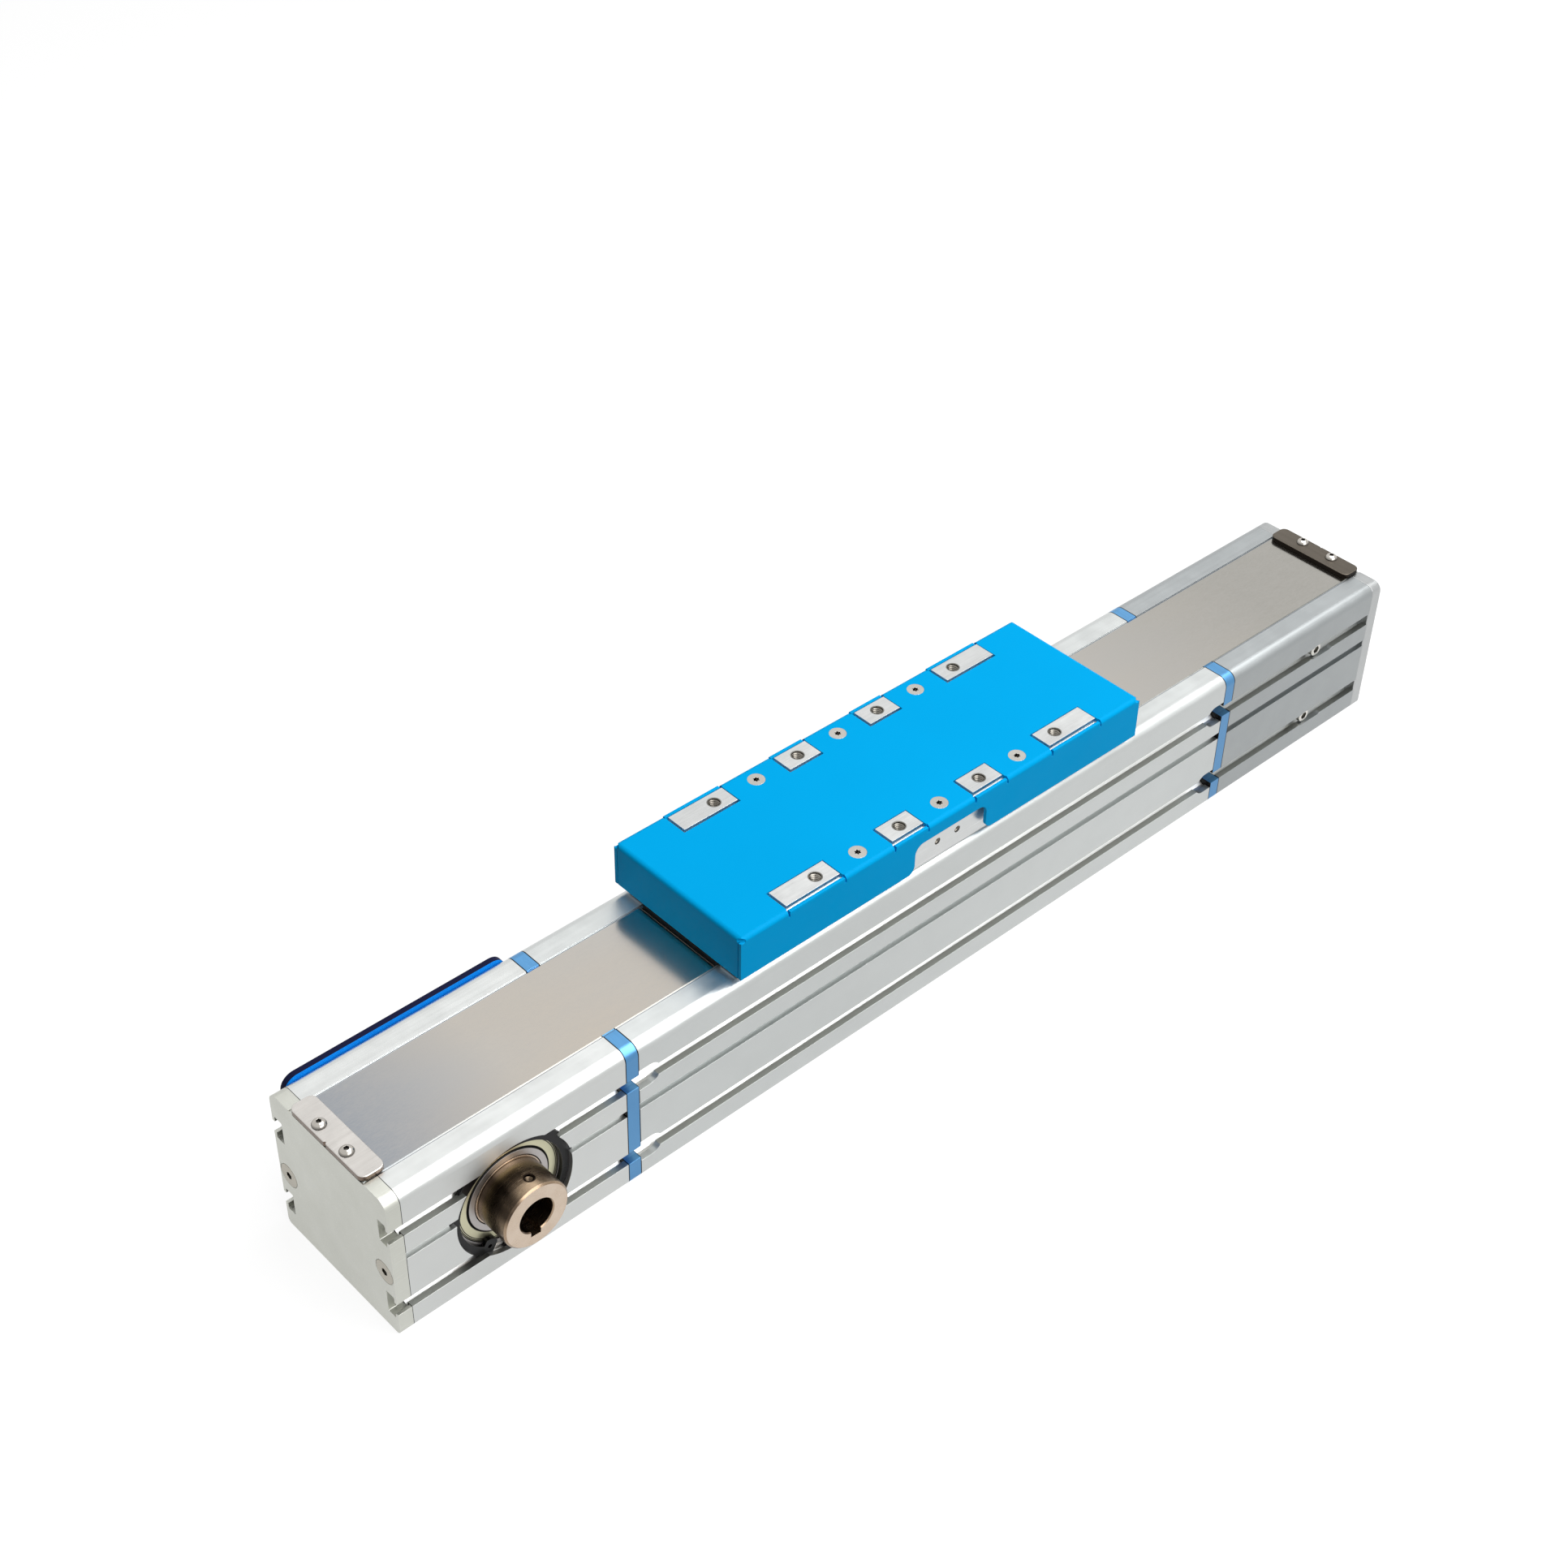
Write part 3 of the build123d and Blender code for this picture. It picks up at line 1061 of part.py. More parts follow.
def cover_shell():
    """Folded shell of the cover about the carriage centre, open below."""
    length, width, sheet = COVER_LENGTH / 2, COVER_WIDTH / 2, COVER_SHEET
    outer = block((-length, length), (-width, width), (COVER_BOTTOM, COVER_TOP))
    outer = fillet(outer.faces().sort_by(Axis.Z)[-1].edges(), COVER_BEND_R)
    inner = block((-length + sheet, length - sheet), (-width + sheet, width - sheet),
                  (COVER_BOTTOM - 1, COVER_TOP - sheet))
    return outer - fillet(inner.faces().sort_by(Axis.Z)[-1].edges(), COVER_BEND_R - sheet)


def cover_corner_cuts():
    """Seams and relief holes where the bent skirts meet at the four corners."""
    length, inside = COVER_LENGTH / 2, COVER_WIDTH / 2 - COVER_SHEET
    hole = Cylinder(CORNER_RELIEF_R, CORNER_RELIEF_LENGTH)
    cuts = []
    for x_sign in (-1, 1):
        for y_sign in (-1, 1):
            x_range = sorted((x_sign * (length + 1), x_sign * (length - COVER_SHEET - 1)))
            y_range = sorted((y_sign * inside, y_sign * (inside - CORNER_SEAM)))
            cuts.append(block(x_range, y_range, (COVER_BOTTOM - 1, COVER_TOP - COVER_BEND_R)))
            place = Pos(x_sign * (length - CORNER_RELIEF_X), y_sign * (COVER_WIDTH / 2 - CORNER_RELIEF_Y),
                        COVER_TOP - CORNER_RELIEF_DROP)
            cuts.append(place * Rot(0, 0, 45 * x_sign * y_sign) * Rot(90, 0, 0) * hole)
    return cuts


def cover_pad_cuts():
    """Openings round the pads of both beams, with a slit at each end of the bent edge."""
    width, inside = COVER_WIDTH / 2 + 1, COVER_WIDTH / 2 - COVER_SHEET
    y0 = PAD_Y - PAD_WIDTH / 2 - PAD_GAP
    shelf, slit = COVER_TOP - COVER_BEND_R, PAD_SLIT / 2
    cuts = []
    for start, end in pad_ranges():
        span = start - PAD_GAP, end + PAD_GAP
        cut = block(span, (y0, inside), (COVER_TOP - COVER_SHEET - 1, COVER_TOP + 1))
        cut += block(span, (y0, width), (shelf, COVER_TOP + 1))
        for x in span:
            slit_z = shelf - PAD_SLIT_DROP, COVER_TOP + 1
            cut += block((x - slit, x + slit), (inside - slit, width), slit_z)
        cuts += mirrored(cut, Plane.XZ)
    return cuts


def carriage_cover():
    """Folded sheet cover with its windows, cut-outs, corner seams and relief holes."""
    cover = cover_shell()
    for cut in cover_corner_cuts() + cover_pad_cuts():
        cover -= cut
    hole = csk_hole(M5_R, M5_CSK_R, COVER_SCREW_LENGTH, COVER_SCREW_PLAY)
    for x in COVER_SCREW_XS:
        for side in (-1, 1):
            cover -= Pos(x, side * PAD_Y, COVER_TOP) * hole
    reach = COVER_WIDTH / 2 + 1
    return Pos(CARRIAGE_X, 0, 0) * (cover - across_y(window_section(), -reach, reach))


def window_section():
    """Outline of the window in both skirts, open below, with rounded and flared corners."""
    half, flare = WINDOW_WIDTH / 2, WINDOW_FLARE_R
    face = rect((-half, half), (COVER_BOTTOM - 1, COVER_TOP - WINDOW_DROP))
    face = fillet(face.vertices().group_by(Axis.Y)[-1], WINDOW_R)
    for sign in (-1, 1):
        edge = sign * half
        corner = rect(sorted((edge, edge + sign * flare)), (COVER_BOTTOM - 1, COVER_BOTTOM + flare))
        face += corner - Pos(edge + sign * flare, COVER_BOTTOM + flare) * Circle(flare)
    return face


def cover_screws():
    """The six countersunk screws of the cover."""
    screw = csk_screw(M5_R, M5_CSK_R, COVER_SCREW_LENGTH, lobed_socket(M5_CSK_SOCKET_R))
    return [Pos(CARRIAGE_X + x, side * PAD_Y, COVER_TOP) * screw
            for x in COVER_SCREW_XS for side in (-1, 1)]


def buffer(sign):
    """Rubber end buffer on a joint plate."""
    start, end = sorted((sign * JOINT_X, sign * (JOINT_X - BUFFER_LENGTH)))
    return Pos(0, 0, END_BLOCK_TOP - BUFFER_DROP) * rod_x(BUFFER_R, start, end)


# ---- plate over the far shaft opening ----
def side_plate_section():
    """Outline of the far side plate in (X, Z)."""
    height = PROFILE_HEIGHT - 2 * SIDE_PLATE_MARGIN
    length = HEAD_LENGTH - 2 * SIDE_PLATE_MARGIN
    centre = -(HEAD_IN + HEAD_OUT) / 2
    face = Pos(centre, PROFILE_HEIGHT / 2) * RectangleRounded(length, height, SIDE_PLATE_CORNER_R)
    return face - [Pos(x, z) * Circle(M5_R + SCREW_CLEARANCE) for x, z in side_screw_spots()]


def side_screw_spots():
    """Screw positions of the far side plate, on the two slots."""
    ends = -HEAD_OUT + SIDE_SCREW_INSET, -HEAD_IN - SIDE_SCREW_INSET
    return [(x, z) for x in ends for z in SLOT_HEIGHTS]


def side_gasket():
    """Blue gasket between the drive head and the side plate."""
    return across_y(side_plate_section(), HALF_WIDTH, HALF_WIDTH + SIDE_GASKET_T)


def side_plate():
    """Dark plate over the far shaft opening."""
    start = HALF_WIDTH + SIDE_GASKET_T
    return across_y(side_plate_section(), start, start + SIDE_PLATE_T)


def side_plate_screws():
    """Button head screws of the side plate."""
    seat = HALF_WIDTH + SIDE_GASKET_T + SIDE_PLATE_T
    screw = button_screw(M5_R, M5_BUTTON_R, M5_BUTTON_H, SIDE_SCREW_LENGTH, M5_BUTTON_SOCKET_R)
    return [Pos(x, seat, z) * Rot(-90, 0, 0) * screw for x, z in side_screw_spots()]


def slot_nut(x, z):
    """Slot nut with its flange under the lips, its core deeper and its stem in the mouth."""
    inside, half = HALF_WIDTH - SLOT_LIP, NUT_LENGTH / 2
    steps = [(inside - SLOT_SHOULDER, inside, NUT_WIDTH), (inside - NUT_T, inside, NUT_CORE),
             (inside, inside + NUT_STEM, SLOT_MOUTH - 2 * NUT_PLAY)]
    blocks = [block((x - half, x + half), (low, high), (z - width / 2, z + width / 2))
              for low, high, width in steps]
    return blocks[0] + blocks[1:] - Pos(x, 0, z) * rod_y(M5_R + FIT, inside - NUT_T - 1, HALF_WIDTH)


def slot_nuts():
    """Slot nuts behind the side plate screws."""
    return [slot_nut(x, z) for x, z in side_screw_spots()]


# ---- all pieces by name ----
PARTS = {
    "main_extrusion": main_extrusion,
    "drive_head": drive_head,
    "tail_head": tail_head,
    "drive_joint_plate": lambda: joint_plate(-HEAD_IN),
    "tail_joint_plate": lambda: joint_plate(JOINT_X),
    "drive_end_plate": drive_end_plate,
    "tail_end_plate": tail_end_plate,
    "end_plate_screws": end_plate_screws,
    "head_screws": head_screws,
    "strip_drive_side": lambda: strip_end(-1),
    "strip_tail_side": lambda: strip_end(1),
    "strip_wave": strip_wave,
    "drive_strip_clamp": lambda: strip_clamp(-1),
    "tail_strip_clamp": lambda: strip_clamp(1),
    "strip_clamp_screws": strip_clamp_screws,
    "magnet_tapes": magnet_tapes,
    "belt_return": belt_return,
    "belt_drive_run": lambda: belt_run(-1),
    "belt_tail_run": lambda: belt_run(1),
    "belt_ends": lambda: [belt_clamped_end(-1), belt_clamped_end(1)],
    "drive_shaft": drive_shaft,
    "drive_flanges": lambda: pulley_flanges(DRIVE_X, SHAFT_COLLAR_R),
    "near_bearing_outer_ring": lambda: drive_bearing(-1, "outer"),
    "near_bearing_inner_ring": lambda: drive_bearing(-1, "inner"),
    "near_bearing_shields": lambda: drive_bearing(-1, "shields"),
    "far_bearing_outer_ring": lambda: drive_bearing(1, "outer"),
    "far_bearing_inner_ring": lambda: drive_bearing(1, "inner"),
    "far_bearing_shields": lambda: drive_bearing(1, "shields"),
    "near_circlip": lambda: circlip(-1),
    "far_circlip": lambda: circlip(1),
    "tail_pulley": tail_pulley,
    "tail_flanges": lambda: pulley_flanges(TAIL_X, PULLEY_ROOT_R),
    "tail_bearing_outer_rings": lambda: tail_bearings("outer"),
    "tail_bearing_inner_rings": lambda: tail_bearings("inner"),
    "tail_axle": tail_axle,
    "tension_yoke": tension_yoke,
    "tension_screws": tension_screws,
    "yoke_bolts": yoke_bolts,
    "linear_rail": linear_rail,
    "rail_screws": rail_screws,
    "drive_side_runner": lambda: runner_block(-1),
    "tail_side_runner": lambda: runner_block(1),
    "runner_caps": runner_caps,
    "runner_screws": runner_screws,
    "saddle": saddle,
    "bridge_liner": bridge_liner,
    "strip_ramps": lambda: [strip_ramp(-1), strip_ramp(1)],
    "belt_jaws": lambda: [belt_jaw(-1), belt_jaw(1)],
    "jaw_screws": jaw_screws,
    "wipers": lambda: [wiper(-1), wiper(1)],
    "carriage_cover": carriage_cover,
    "cover_screws": cover_screws,
    "end_buffers": lambda: [buffer(-1), buffer(1)],
    "side_gasket": side_gasket,
    "side_plate": side_plate,
    "side_plate_screws": side_plate_screws,
    "slot_nuts": slot_nuts,
}


def main():
    """Write one STEP file for each piece."""
    os.makedirs("parts", exist_ok=True)
    for name, make in PARTS.items():
        shape = make()
        if isinstance(shape, list):
            shape = Compound(children=[solid for piece in shape for solid in piece.solids()])
        export_step(shape, f"parts/{name}.step")


main()
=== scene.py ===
"""Looks of a belt driven linear axis: finishes for its machined pieces, the cover strips beside
the carriage, tapped threads, and a plain studio round it."""

import json
import logging
import math
from abc import ABC, abstractmethod
from dataclasses import dataclass
from enum import Enum

import bmesh
import bpy
from mathutils import Matrix, Vector


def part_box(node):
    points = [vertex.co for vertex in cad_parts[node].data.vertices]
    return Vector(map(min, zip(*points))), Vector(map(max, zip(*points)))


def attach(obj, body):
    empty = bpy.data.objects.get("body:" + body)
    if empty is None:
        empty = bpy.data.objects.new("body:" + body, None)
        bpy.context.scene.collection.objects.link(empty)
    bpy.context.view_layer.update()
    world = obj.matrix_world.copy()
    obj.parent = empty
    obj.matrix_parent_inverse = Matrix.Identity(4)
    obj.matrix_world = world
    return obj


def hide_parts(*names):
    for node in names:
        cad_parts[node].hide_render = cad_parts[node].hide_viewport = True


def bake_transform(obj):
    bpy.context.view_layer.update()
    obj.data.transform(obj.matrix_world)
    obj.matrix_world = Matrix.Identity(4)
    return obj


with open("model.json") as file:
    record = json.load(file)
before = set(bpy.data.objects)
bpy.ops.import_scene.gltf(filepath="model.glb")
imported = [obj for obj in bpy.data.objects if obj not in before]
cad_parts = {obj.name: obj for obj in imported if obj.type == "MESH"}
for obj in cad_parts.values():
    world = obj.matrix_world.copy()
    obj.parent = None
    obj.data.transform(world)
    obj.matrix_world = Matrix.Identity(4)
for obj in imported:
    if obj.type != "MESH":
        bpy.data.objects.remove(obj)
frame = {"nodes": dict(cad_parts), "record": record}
LOG = logging.getLogger("linear_axis")

Colour = tuple[float, float, float]
Triple = tuple[float, float, float]
Pair = tuple[float, float]
Socket = bpy.types.NodeSocket
Shape = bmesh.types.BMesh

# The carriage's middle at rest, the closeness that counts as equal, the width over which a drawn
# border fades, the half width of a fine line, and the steps of a round cutter.
CARRIAGE_X = -0.010
NEAR = 1e-6
FADE = 0.0001
HAIR = 0.0002
ROUND_STEPS = 64
WHITE = (1.0, 1.0, 1.0, 1.0)


class Body(Enum):
    """The bodies that the pieces ride on."""

    BASE = "base"
    CARRIAGE = "carriage"
    DRIVE_ROTOR = "drive_rotor"
    TAIL_ROTOR = "tail_rotor"


class Side(Enum):
    """The two ends of the axis, as signs along X."""

    DRIVE = -1
    TAIL = 1


def linear(red: int, green: int, blue: int) -> Colour:
    """Turns a screen colour of 0 to 255 into linear light.

    Args:
        red: Red from 0 to 255.
        green: Green from 0 to 255.
        blue: Blue from 0 to 255.

    Returns:
        The colour in linear light.
    """
    def one(value: int) -> float:
        """Linear light of one channel."""
        share = value / 255
        return share / 12.92 if share <= 0.04045 else ((share + 0.055) / 1.055) ** 2.4

    return one(red), one(green), one(blue)


# ---- shader node groups ----
class Wiring:
    """A node tree with short ways to add nodes and join them."""

    def __init__(self, tree: bpy.types.NodeTree) -> None:
        """Keeps the tree that nodes are added to."""
        self.tree = tree

    def add(self, kind: str, **settings: object) -> bpy.types.Node:
        """Adds a node.

        Args:
            kind: The node's type name.
            settings: Properties set on the node.

        Returns:
            The new node.
        """
        node = self.tree.nodes.new(kind)
        for name, value in settings.items():
            setattr(node, name, value)
        return node

    def join(self, source: Socket, target: Socket) -> None:
        """Joins two sockets."""
        self.tree.links.new(source, target)

    def feed(self, node: bpy.types.Node, values: dict[int | str, object]) -> None:
        """Fills a node's inputs.

        Args:
            node: The node.
            values: A socket or a plain value, by the input's index or name.
        """
        for key, value in values.items():
            if isinstance(value, bpy.types.NodeSocket):
                self.join(value, node.inputs[key])
            else:
                node.inputs[key].default_value = value

    def math(self, operation: str, *values: object) -> Socket:
        """Adds a Math node.

        Args:
            operation: The operation's name.
            values: A socket or a number for each input.

        Returns:
            The node's result.
        """
        node = self.add("ShaderNodeMath", operation=operation)
        self.feed(node, dict(enumerate(values)))
        return node.outputs[0]

    def times(self, first: object, second: object) -> Socket:
        """Two values multiplied."""
        return self.math("MULTIPLY", first, second)

    def plus(self, first: object, second: object) -> Socket:
        """Two values added."""
        return self.math("ADD", first, second)

    def less(self, first: object, second: object) -> Socket:
        """The first value less the second."""
        return self.math("SUBTRACT", first, second)

    def size(self, value: Socket) -> Socket:
        """A value without its sign."""
        return self.math("ABSOLUTE", value)

    def span(self, value: Socket, low: float, high: float, to_low: float = 0.0, to_high: float = 1.0) -> Socket:
        """Maps a value from one range to another, clamped.

        Args:
            value: The value that is mapped.
            low: Start of the range that is read.
            high: End of the range that is read.
            to_low: What the start becomes.
            to_high: What the end becomes.

        Returns:
            The mapped value.
        """
        node = self.add("ShaderNodeMapRange")
        self.feed(node, {"Value": value, "From Min": low, "From Max": high,
                         "To Min": to_low, "To Max": to_high})
        return node.outputs["Result"]

    def within(self, value: Socket, limit: float, fade: float) -> Socket:
        """1 where a value is under a limit less a fade, and 0 where it is over it."""
        return self.span(value, limit, limit - fade)

    def mix(self, share: Socket, first: object, second: object) -> Socket:
        """Mixes two colours.

        Args:
            share: How much of the second colour shows.
            first: A socket or a colour.
            second: A socket or a colour.

        Returns:
            The mixed colour.
        """
        node = self.add("ShaderNodeMix", data_type="RGBA")
        self.join(share, node.inputs["Factor"])
        for index, tone in ((6, first), (7, second)):
            self.feed(node, {index: tone if isinstance(tone, bpy.types.NodeSocket) else (*tone, 1.0)})
        return node.outputs[2]

    def part(self, vector: Socket, axis: str) -> Socket:
        """Takes one coordinate out of a vector.

        Args:
            vector: The vector.
            axis: X, Y or Z.

        Returns:
            The coordinate.
        """
        node = self.add("ShaderNodeSeparateXYZ")
        self.join(vector, node.inputs[0])
        return node.outputs[axis]

    def noise(self, vector: Socket, scale: float, detail: float = 2.0, rough: float = 0.5) -> Socket:
        """Adds a noise texture.

        Args:
            vector: Where the noise is read.
            scale: Cells in a metre.
            detail: Octaves.
            rough: Weight of the fine octaves.

        Returns:
            The noise from 0 to 1.
        """
        node = self.add("ShaderNodeTexNoise")
        self.feed(node, {"Vector": vector, "Scale": scale, "Detail": detail, "Roughness": rough})
        return node.outputs["Fac"]

    def stretched(self, vector: Socket, factors: Triple, turn: Triple = (0.0, 0.0, 0.0)) -> Socket:
        """Turns and stretches coordinates.

        Args:
            vector: The coordinates.
            factors: Scale along each axis.
            turn: Turn about each axis in degrees.

        Returns:
            The mapped coordinates.
        """
        node = self.add("ShaderNodeMapping")
        self.feed(node, {"Vector": vector, "Scale": factors,
                         "Rotation": [math.radians(angle) for angle in turn]})
        return node.outputs["Vector"]


class PatternGroup:
    """A shader node group with named sockets, built once and placed in many materials."""

    def __init__(self, name: str, inputs: dict[str, float | None], outputs: tuple[str, ...]) -> None:
        """Makes an empty group with its sockets.

        Args:
            name: The group's name.
            inputs: Starting value by input name, and None for a vector.
            outputs: Names of the results, which are numbers.
        """
        self.tree = bpy.data.node_groups.new(name, "ShaderNodeTree")
        for label, start in inputs.items():
            kind = "NodeSocketVector" if start is None else "NodeSocketFloat"
            socket = self.tree.interface.new_socket(name=label, in_out="INPUT", socket_type=kind)
            if start is not None:
                socket.default_value = start
        for label in outputs:
            self.tree.interface.new_socket(name=label, in_out="OUTPUT", socket_type="NodeSocketFloat")
        self.wiring = Wiring(self.tree)
        self.source = self.wiring.add("NodeGroupInput")
        self.sink = self.wiring.add("NodeGroupOutput")

    def read(self, label: str) -> Socket:
        """The input of that name, seen from inside."""
        return self.source.outputs[label]

    def give(self, label: str, socket: Socket) -> None:
        """Joins a socket to the output of that name."""
        self.wiring.join(socket, self.sink.inputs[label])

    def place(self, wiring: Wiring, **values: object) -> bpy.types.Node:
        """Places the group in a material.

        Args:
            wiring: The material's wiring.
            values: A number or a socket by input name, with _ for a space.

        Returns:
            The placed group node.
        """
        node = wiring.add("ShaderNodeGroup", node_tree=self.tree)
        wiring.feed(node, {name.replace("_", " "): value for name, value in values.items()})
        return node


class Patterns:
    """The surface effects that several finishes share."""

    def __init__(self) -> None:
        """Builds each group once."""
        self.grain = self.build_grain()
        self.haze = self.build_haze()
        self.scratches = self.build_scratches()
        self.edges = self.build_edges()
        self.line = self.build_line()
        self.radius = self.build_radius()
        self.crevice = self.build_crevice_shade()

    def build_grain(self) -> PatternGroup:
        """Fine lines that a tool or a die leaves, read from stretched coordinates.

        Returns:
            The group, which gives the grain from 0 to 1.
        """
        group = PatternGroup("DrawnGrain", {"Vector": None, "Contrast": 1.0}, ("Grain",))
        wiring = group.wiring
        fine = wiring.noise(group.read("Vector"), 1.0, 3.0, 0.6)
        broad = wiring.noise(group.read("Vector"), 0.21, 2.0, 0.5)
        centred = wiring.less(wiring.plus(wiring.times(fine, 0.65), wiring.times(broad, 0.35)), 0.5)
        group.give("Grain", wiring.plus(wiring.times(centred, group.read("Contrast")), 0.5))
        return group

    def build_haze(self) -> PatternGroup:
        """Broad soft clouds in gloss and tone, as handling and anodising leave.

        Returns:
            The group, which gives a cloud mask from 0 to 1 and a finer mottle.
        """
        group = PatternGroup("SoftHaze", {"Vector": None}, ("Cloud", "Mottle"))
        wiring = group.wiring
        cloud = wiring.noise(group.read("Vector"), 9.0, 3.0, 0.55)
        mottle = wiring.noise(group.read("Vector"), 60.0, 4.0, 0.6)
        group.give("Cloud", wiring.span(cloud, 0.3, 0.7))
        group.give("Mottle", wiring.span(mottle, 0.3, 0.7))
        return group

    def build_scratches(self) -> PatternGroup:
        """Sparse hairline scratches in three directions.

        Returns:
            The group, which gives a mask that is 1 on a scratch.
        """
        group = PatternGroup("HairScratches", {"Vector": None}, ("Scratch",))
        wiring = group.wiring
        total = None
        for turn, long_way in ((23.0, 26.0), (-48.0, 34.0), (81.0, 30.0)):
            spots = wiring.stretched(group.read("Vector"), (long_way, 1500.0, 1500.0), (0.0, 0.0, turn))
            line = wiring.span(wiring.noise(spots, 1.0, 1.0, 0.4), 0.70, 0.76)
            total = line if total is None else wiring.math("MAXIMUM", total, line)
        group.give("Scratch", total)
        return group

    def build_edges(self) -> PatternGroup:
        """Broken edges, found from how a rounded normal leaves the flat one; finishes lighten them for wear and
        as a painted highlight.

        Returns:
            The group, which gives the edge mask.
        """
        group = PatternGroup("BrokenEdges", {"Rounded": None, "Gain": 4.0}, ("Edge",))
        wiring = group.wiring
        flat = wiring.add("ShaderNodeNewGeometry")
        dot = wiring.add("ShaderNodeVectorMath", operation="DOT_PRODUCT")
        wiring.feed(dot, {0: group.read("Rounded"), 1: flat.outputs["Normal"]})
        raised = wiring.times(wiring.less(1.0, dot.outputs["Value"]), group.read("Gain"))
        group.give("Edge", wiring.math("MAXIMUM", wiring.math("MINIMUM", raised, 1.0), 0.0))
        return group

    def build_line(self) -> PatternGroup:
        """A narrow soft-edged line where a value passes a place, as a seam or a groove shows.

        Returns:
            The group, which gives a mask that is 1 on the line.
        """
        group = PatternGroup("NarrowLine", {"Value": 0.0, "Place": 0.0, "Half": HAIR}, ("Line",))
        wiring = group.wiring
        away = wiring.size(wiring.less(group.read("Value"), group.read("Place")))
        group.give("Line", wiring.span(wiring.math("DIVIDE", away, group.read("Half")), 1.4, 0.6))
        return group

    def build_radius(self) -> PatternGroup:
        """Distance from an axle that runs along Y.

        Returns:
            The group, which gives the distance in metres.
        """
        group = PatternGroup("AxleRadius", {"Vector": None, "Centre X": 0.0, "Centre Z": 0.0}, ("Radius",))
        wiring = group.wiring
        squares = []
        for axis in ("X", "Z"):
            off = wiring.less(wiring.part(group.read("Vector"), axis), group.read(f"Centre {axis}"))
            squares.append(wiring.times(off, off))
        group.give("Radius", wiring.math("SQRT", wiring.plus(*squares)))
        return group

    def build_crevice_shade(self) -> PatternGroup:
        """Painted shade in narrow recesses of the piece itself, such as sockets and inner corners, from local
        ambient occlusion.

        Returns:
            The group, which gives a mask that is 1 deep in a recess.
        """
        group = PatternGroup("Crevice", {"Reach": 0.002}, ("Hollow",))
        wiring = group.wiring
        light = wiring.add("ShaderNodeAmbientOcclusion", only_local=True, samples=6)
        wiring.join(group.read("Reach"), light.inputs["Distance"])
        group.give("Hollow", wiring.span(light.outputs["AO"], 0.9, 0.45))
        return group


# ---- finishes ----
@dataclass(frozen=True)
class Coat:
    """One material in work: its wiring, its shader and the shared effects."""

    wiring: Wiring
    shader: bpy.types.Node
    patterns: Patterns

    def place(self) -> Socket:
        """Object coordinates of the piece."""
        return self.wiring.add("ShaderNodeTexCoord").outputs["Object"]

    def facing(self, axis: str) -> Socket:
        """How far the surface looks along an axis, from -1 to 1."""
        return self.wiring.part(self.wiring.add("ShaderNodeTexCoord").outputs["Normal"], axis)

    def read(self, group: PatternGroup, output: str, **values: object) -> Socket:
        """One result of a shared effect."""
        return group.place(self.wiring, **values).outputs[output]

    def haze(self, place: Socket) -> tuple[Socket, Socket]:
        """Cloud and mottle of the shared haze."""
        node = self.patterns.haze.place(self.wiring, Vector=place)
        return node.outputs["Cloud"], node.outputs["Mottle"]

    def line(self, value: Socket, place: float, half: float) -> Socket:
        """A narrow line where a value passes a place."""
        return self.read(self.patterns.line, "Line", Value=value, Place=place, Half=half)

    def paint(self, tone: Socket) -> None:
        """Joins a colour to the shader."""
        self.wiring.join(tone, self.shader.inputs["Base Color"])

    def lay(self, share: Socket, tone: object) -> None:
        """Lays a tone over what already feeds the shader's colour."""
        self.paint(self.wiring.mix(share, self.shader.inputs["Base Color"].links[0].from_socket, tone))

    def gloss(self, value: Socket) -> None:
        """Joins a roughness to the shader."""
        self.wiring.join(value, self.shader.inputs["Roughness"])


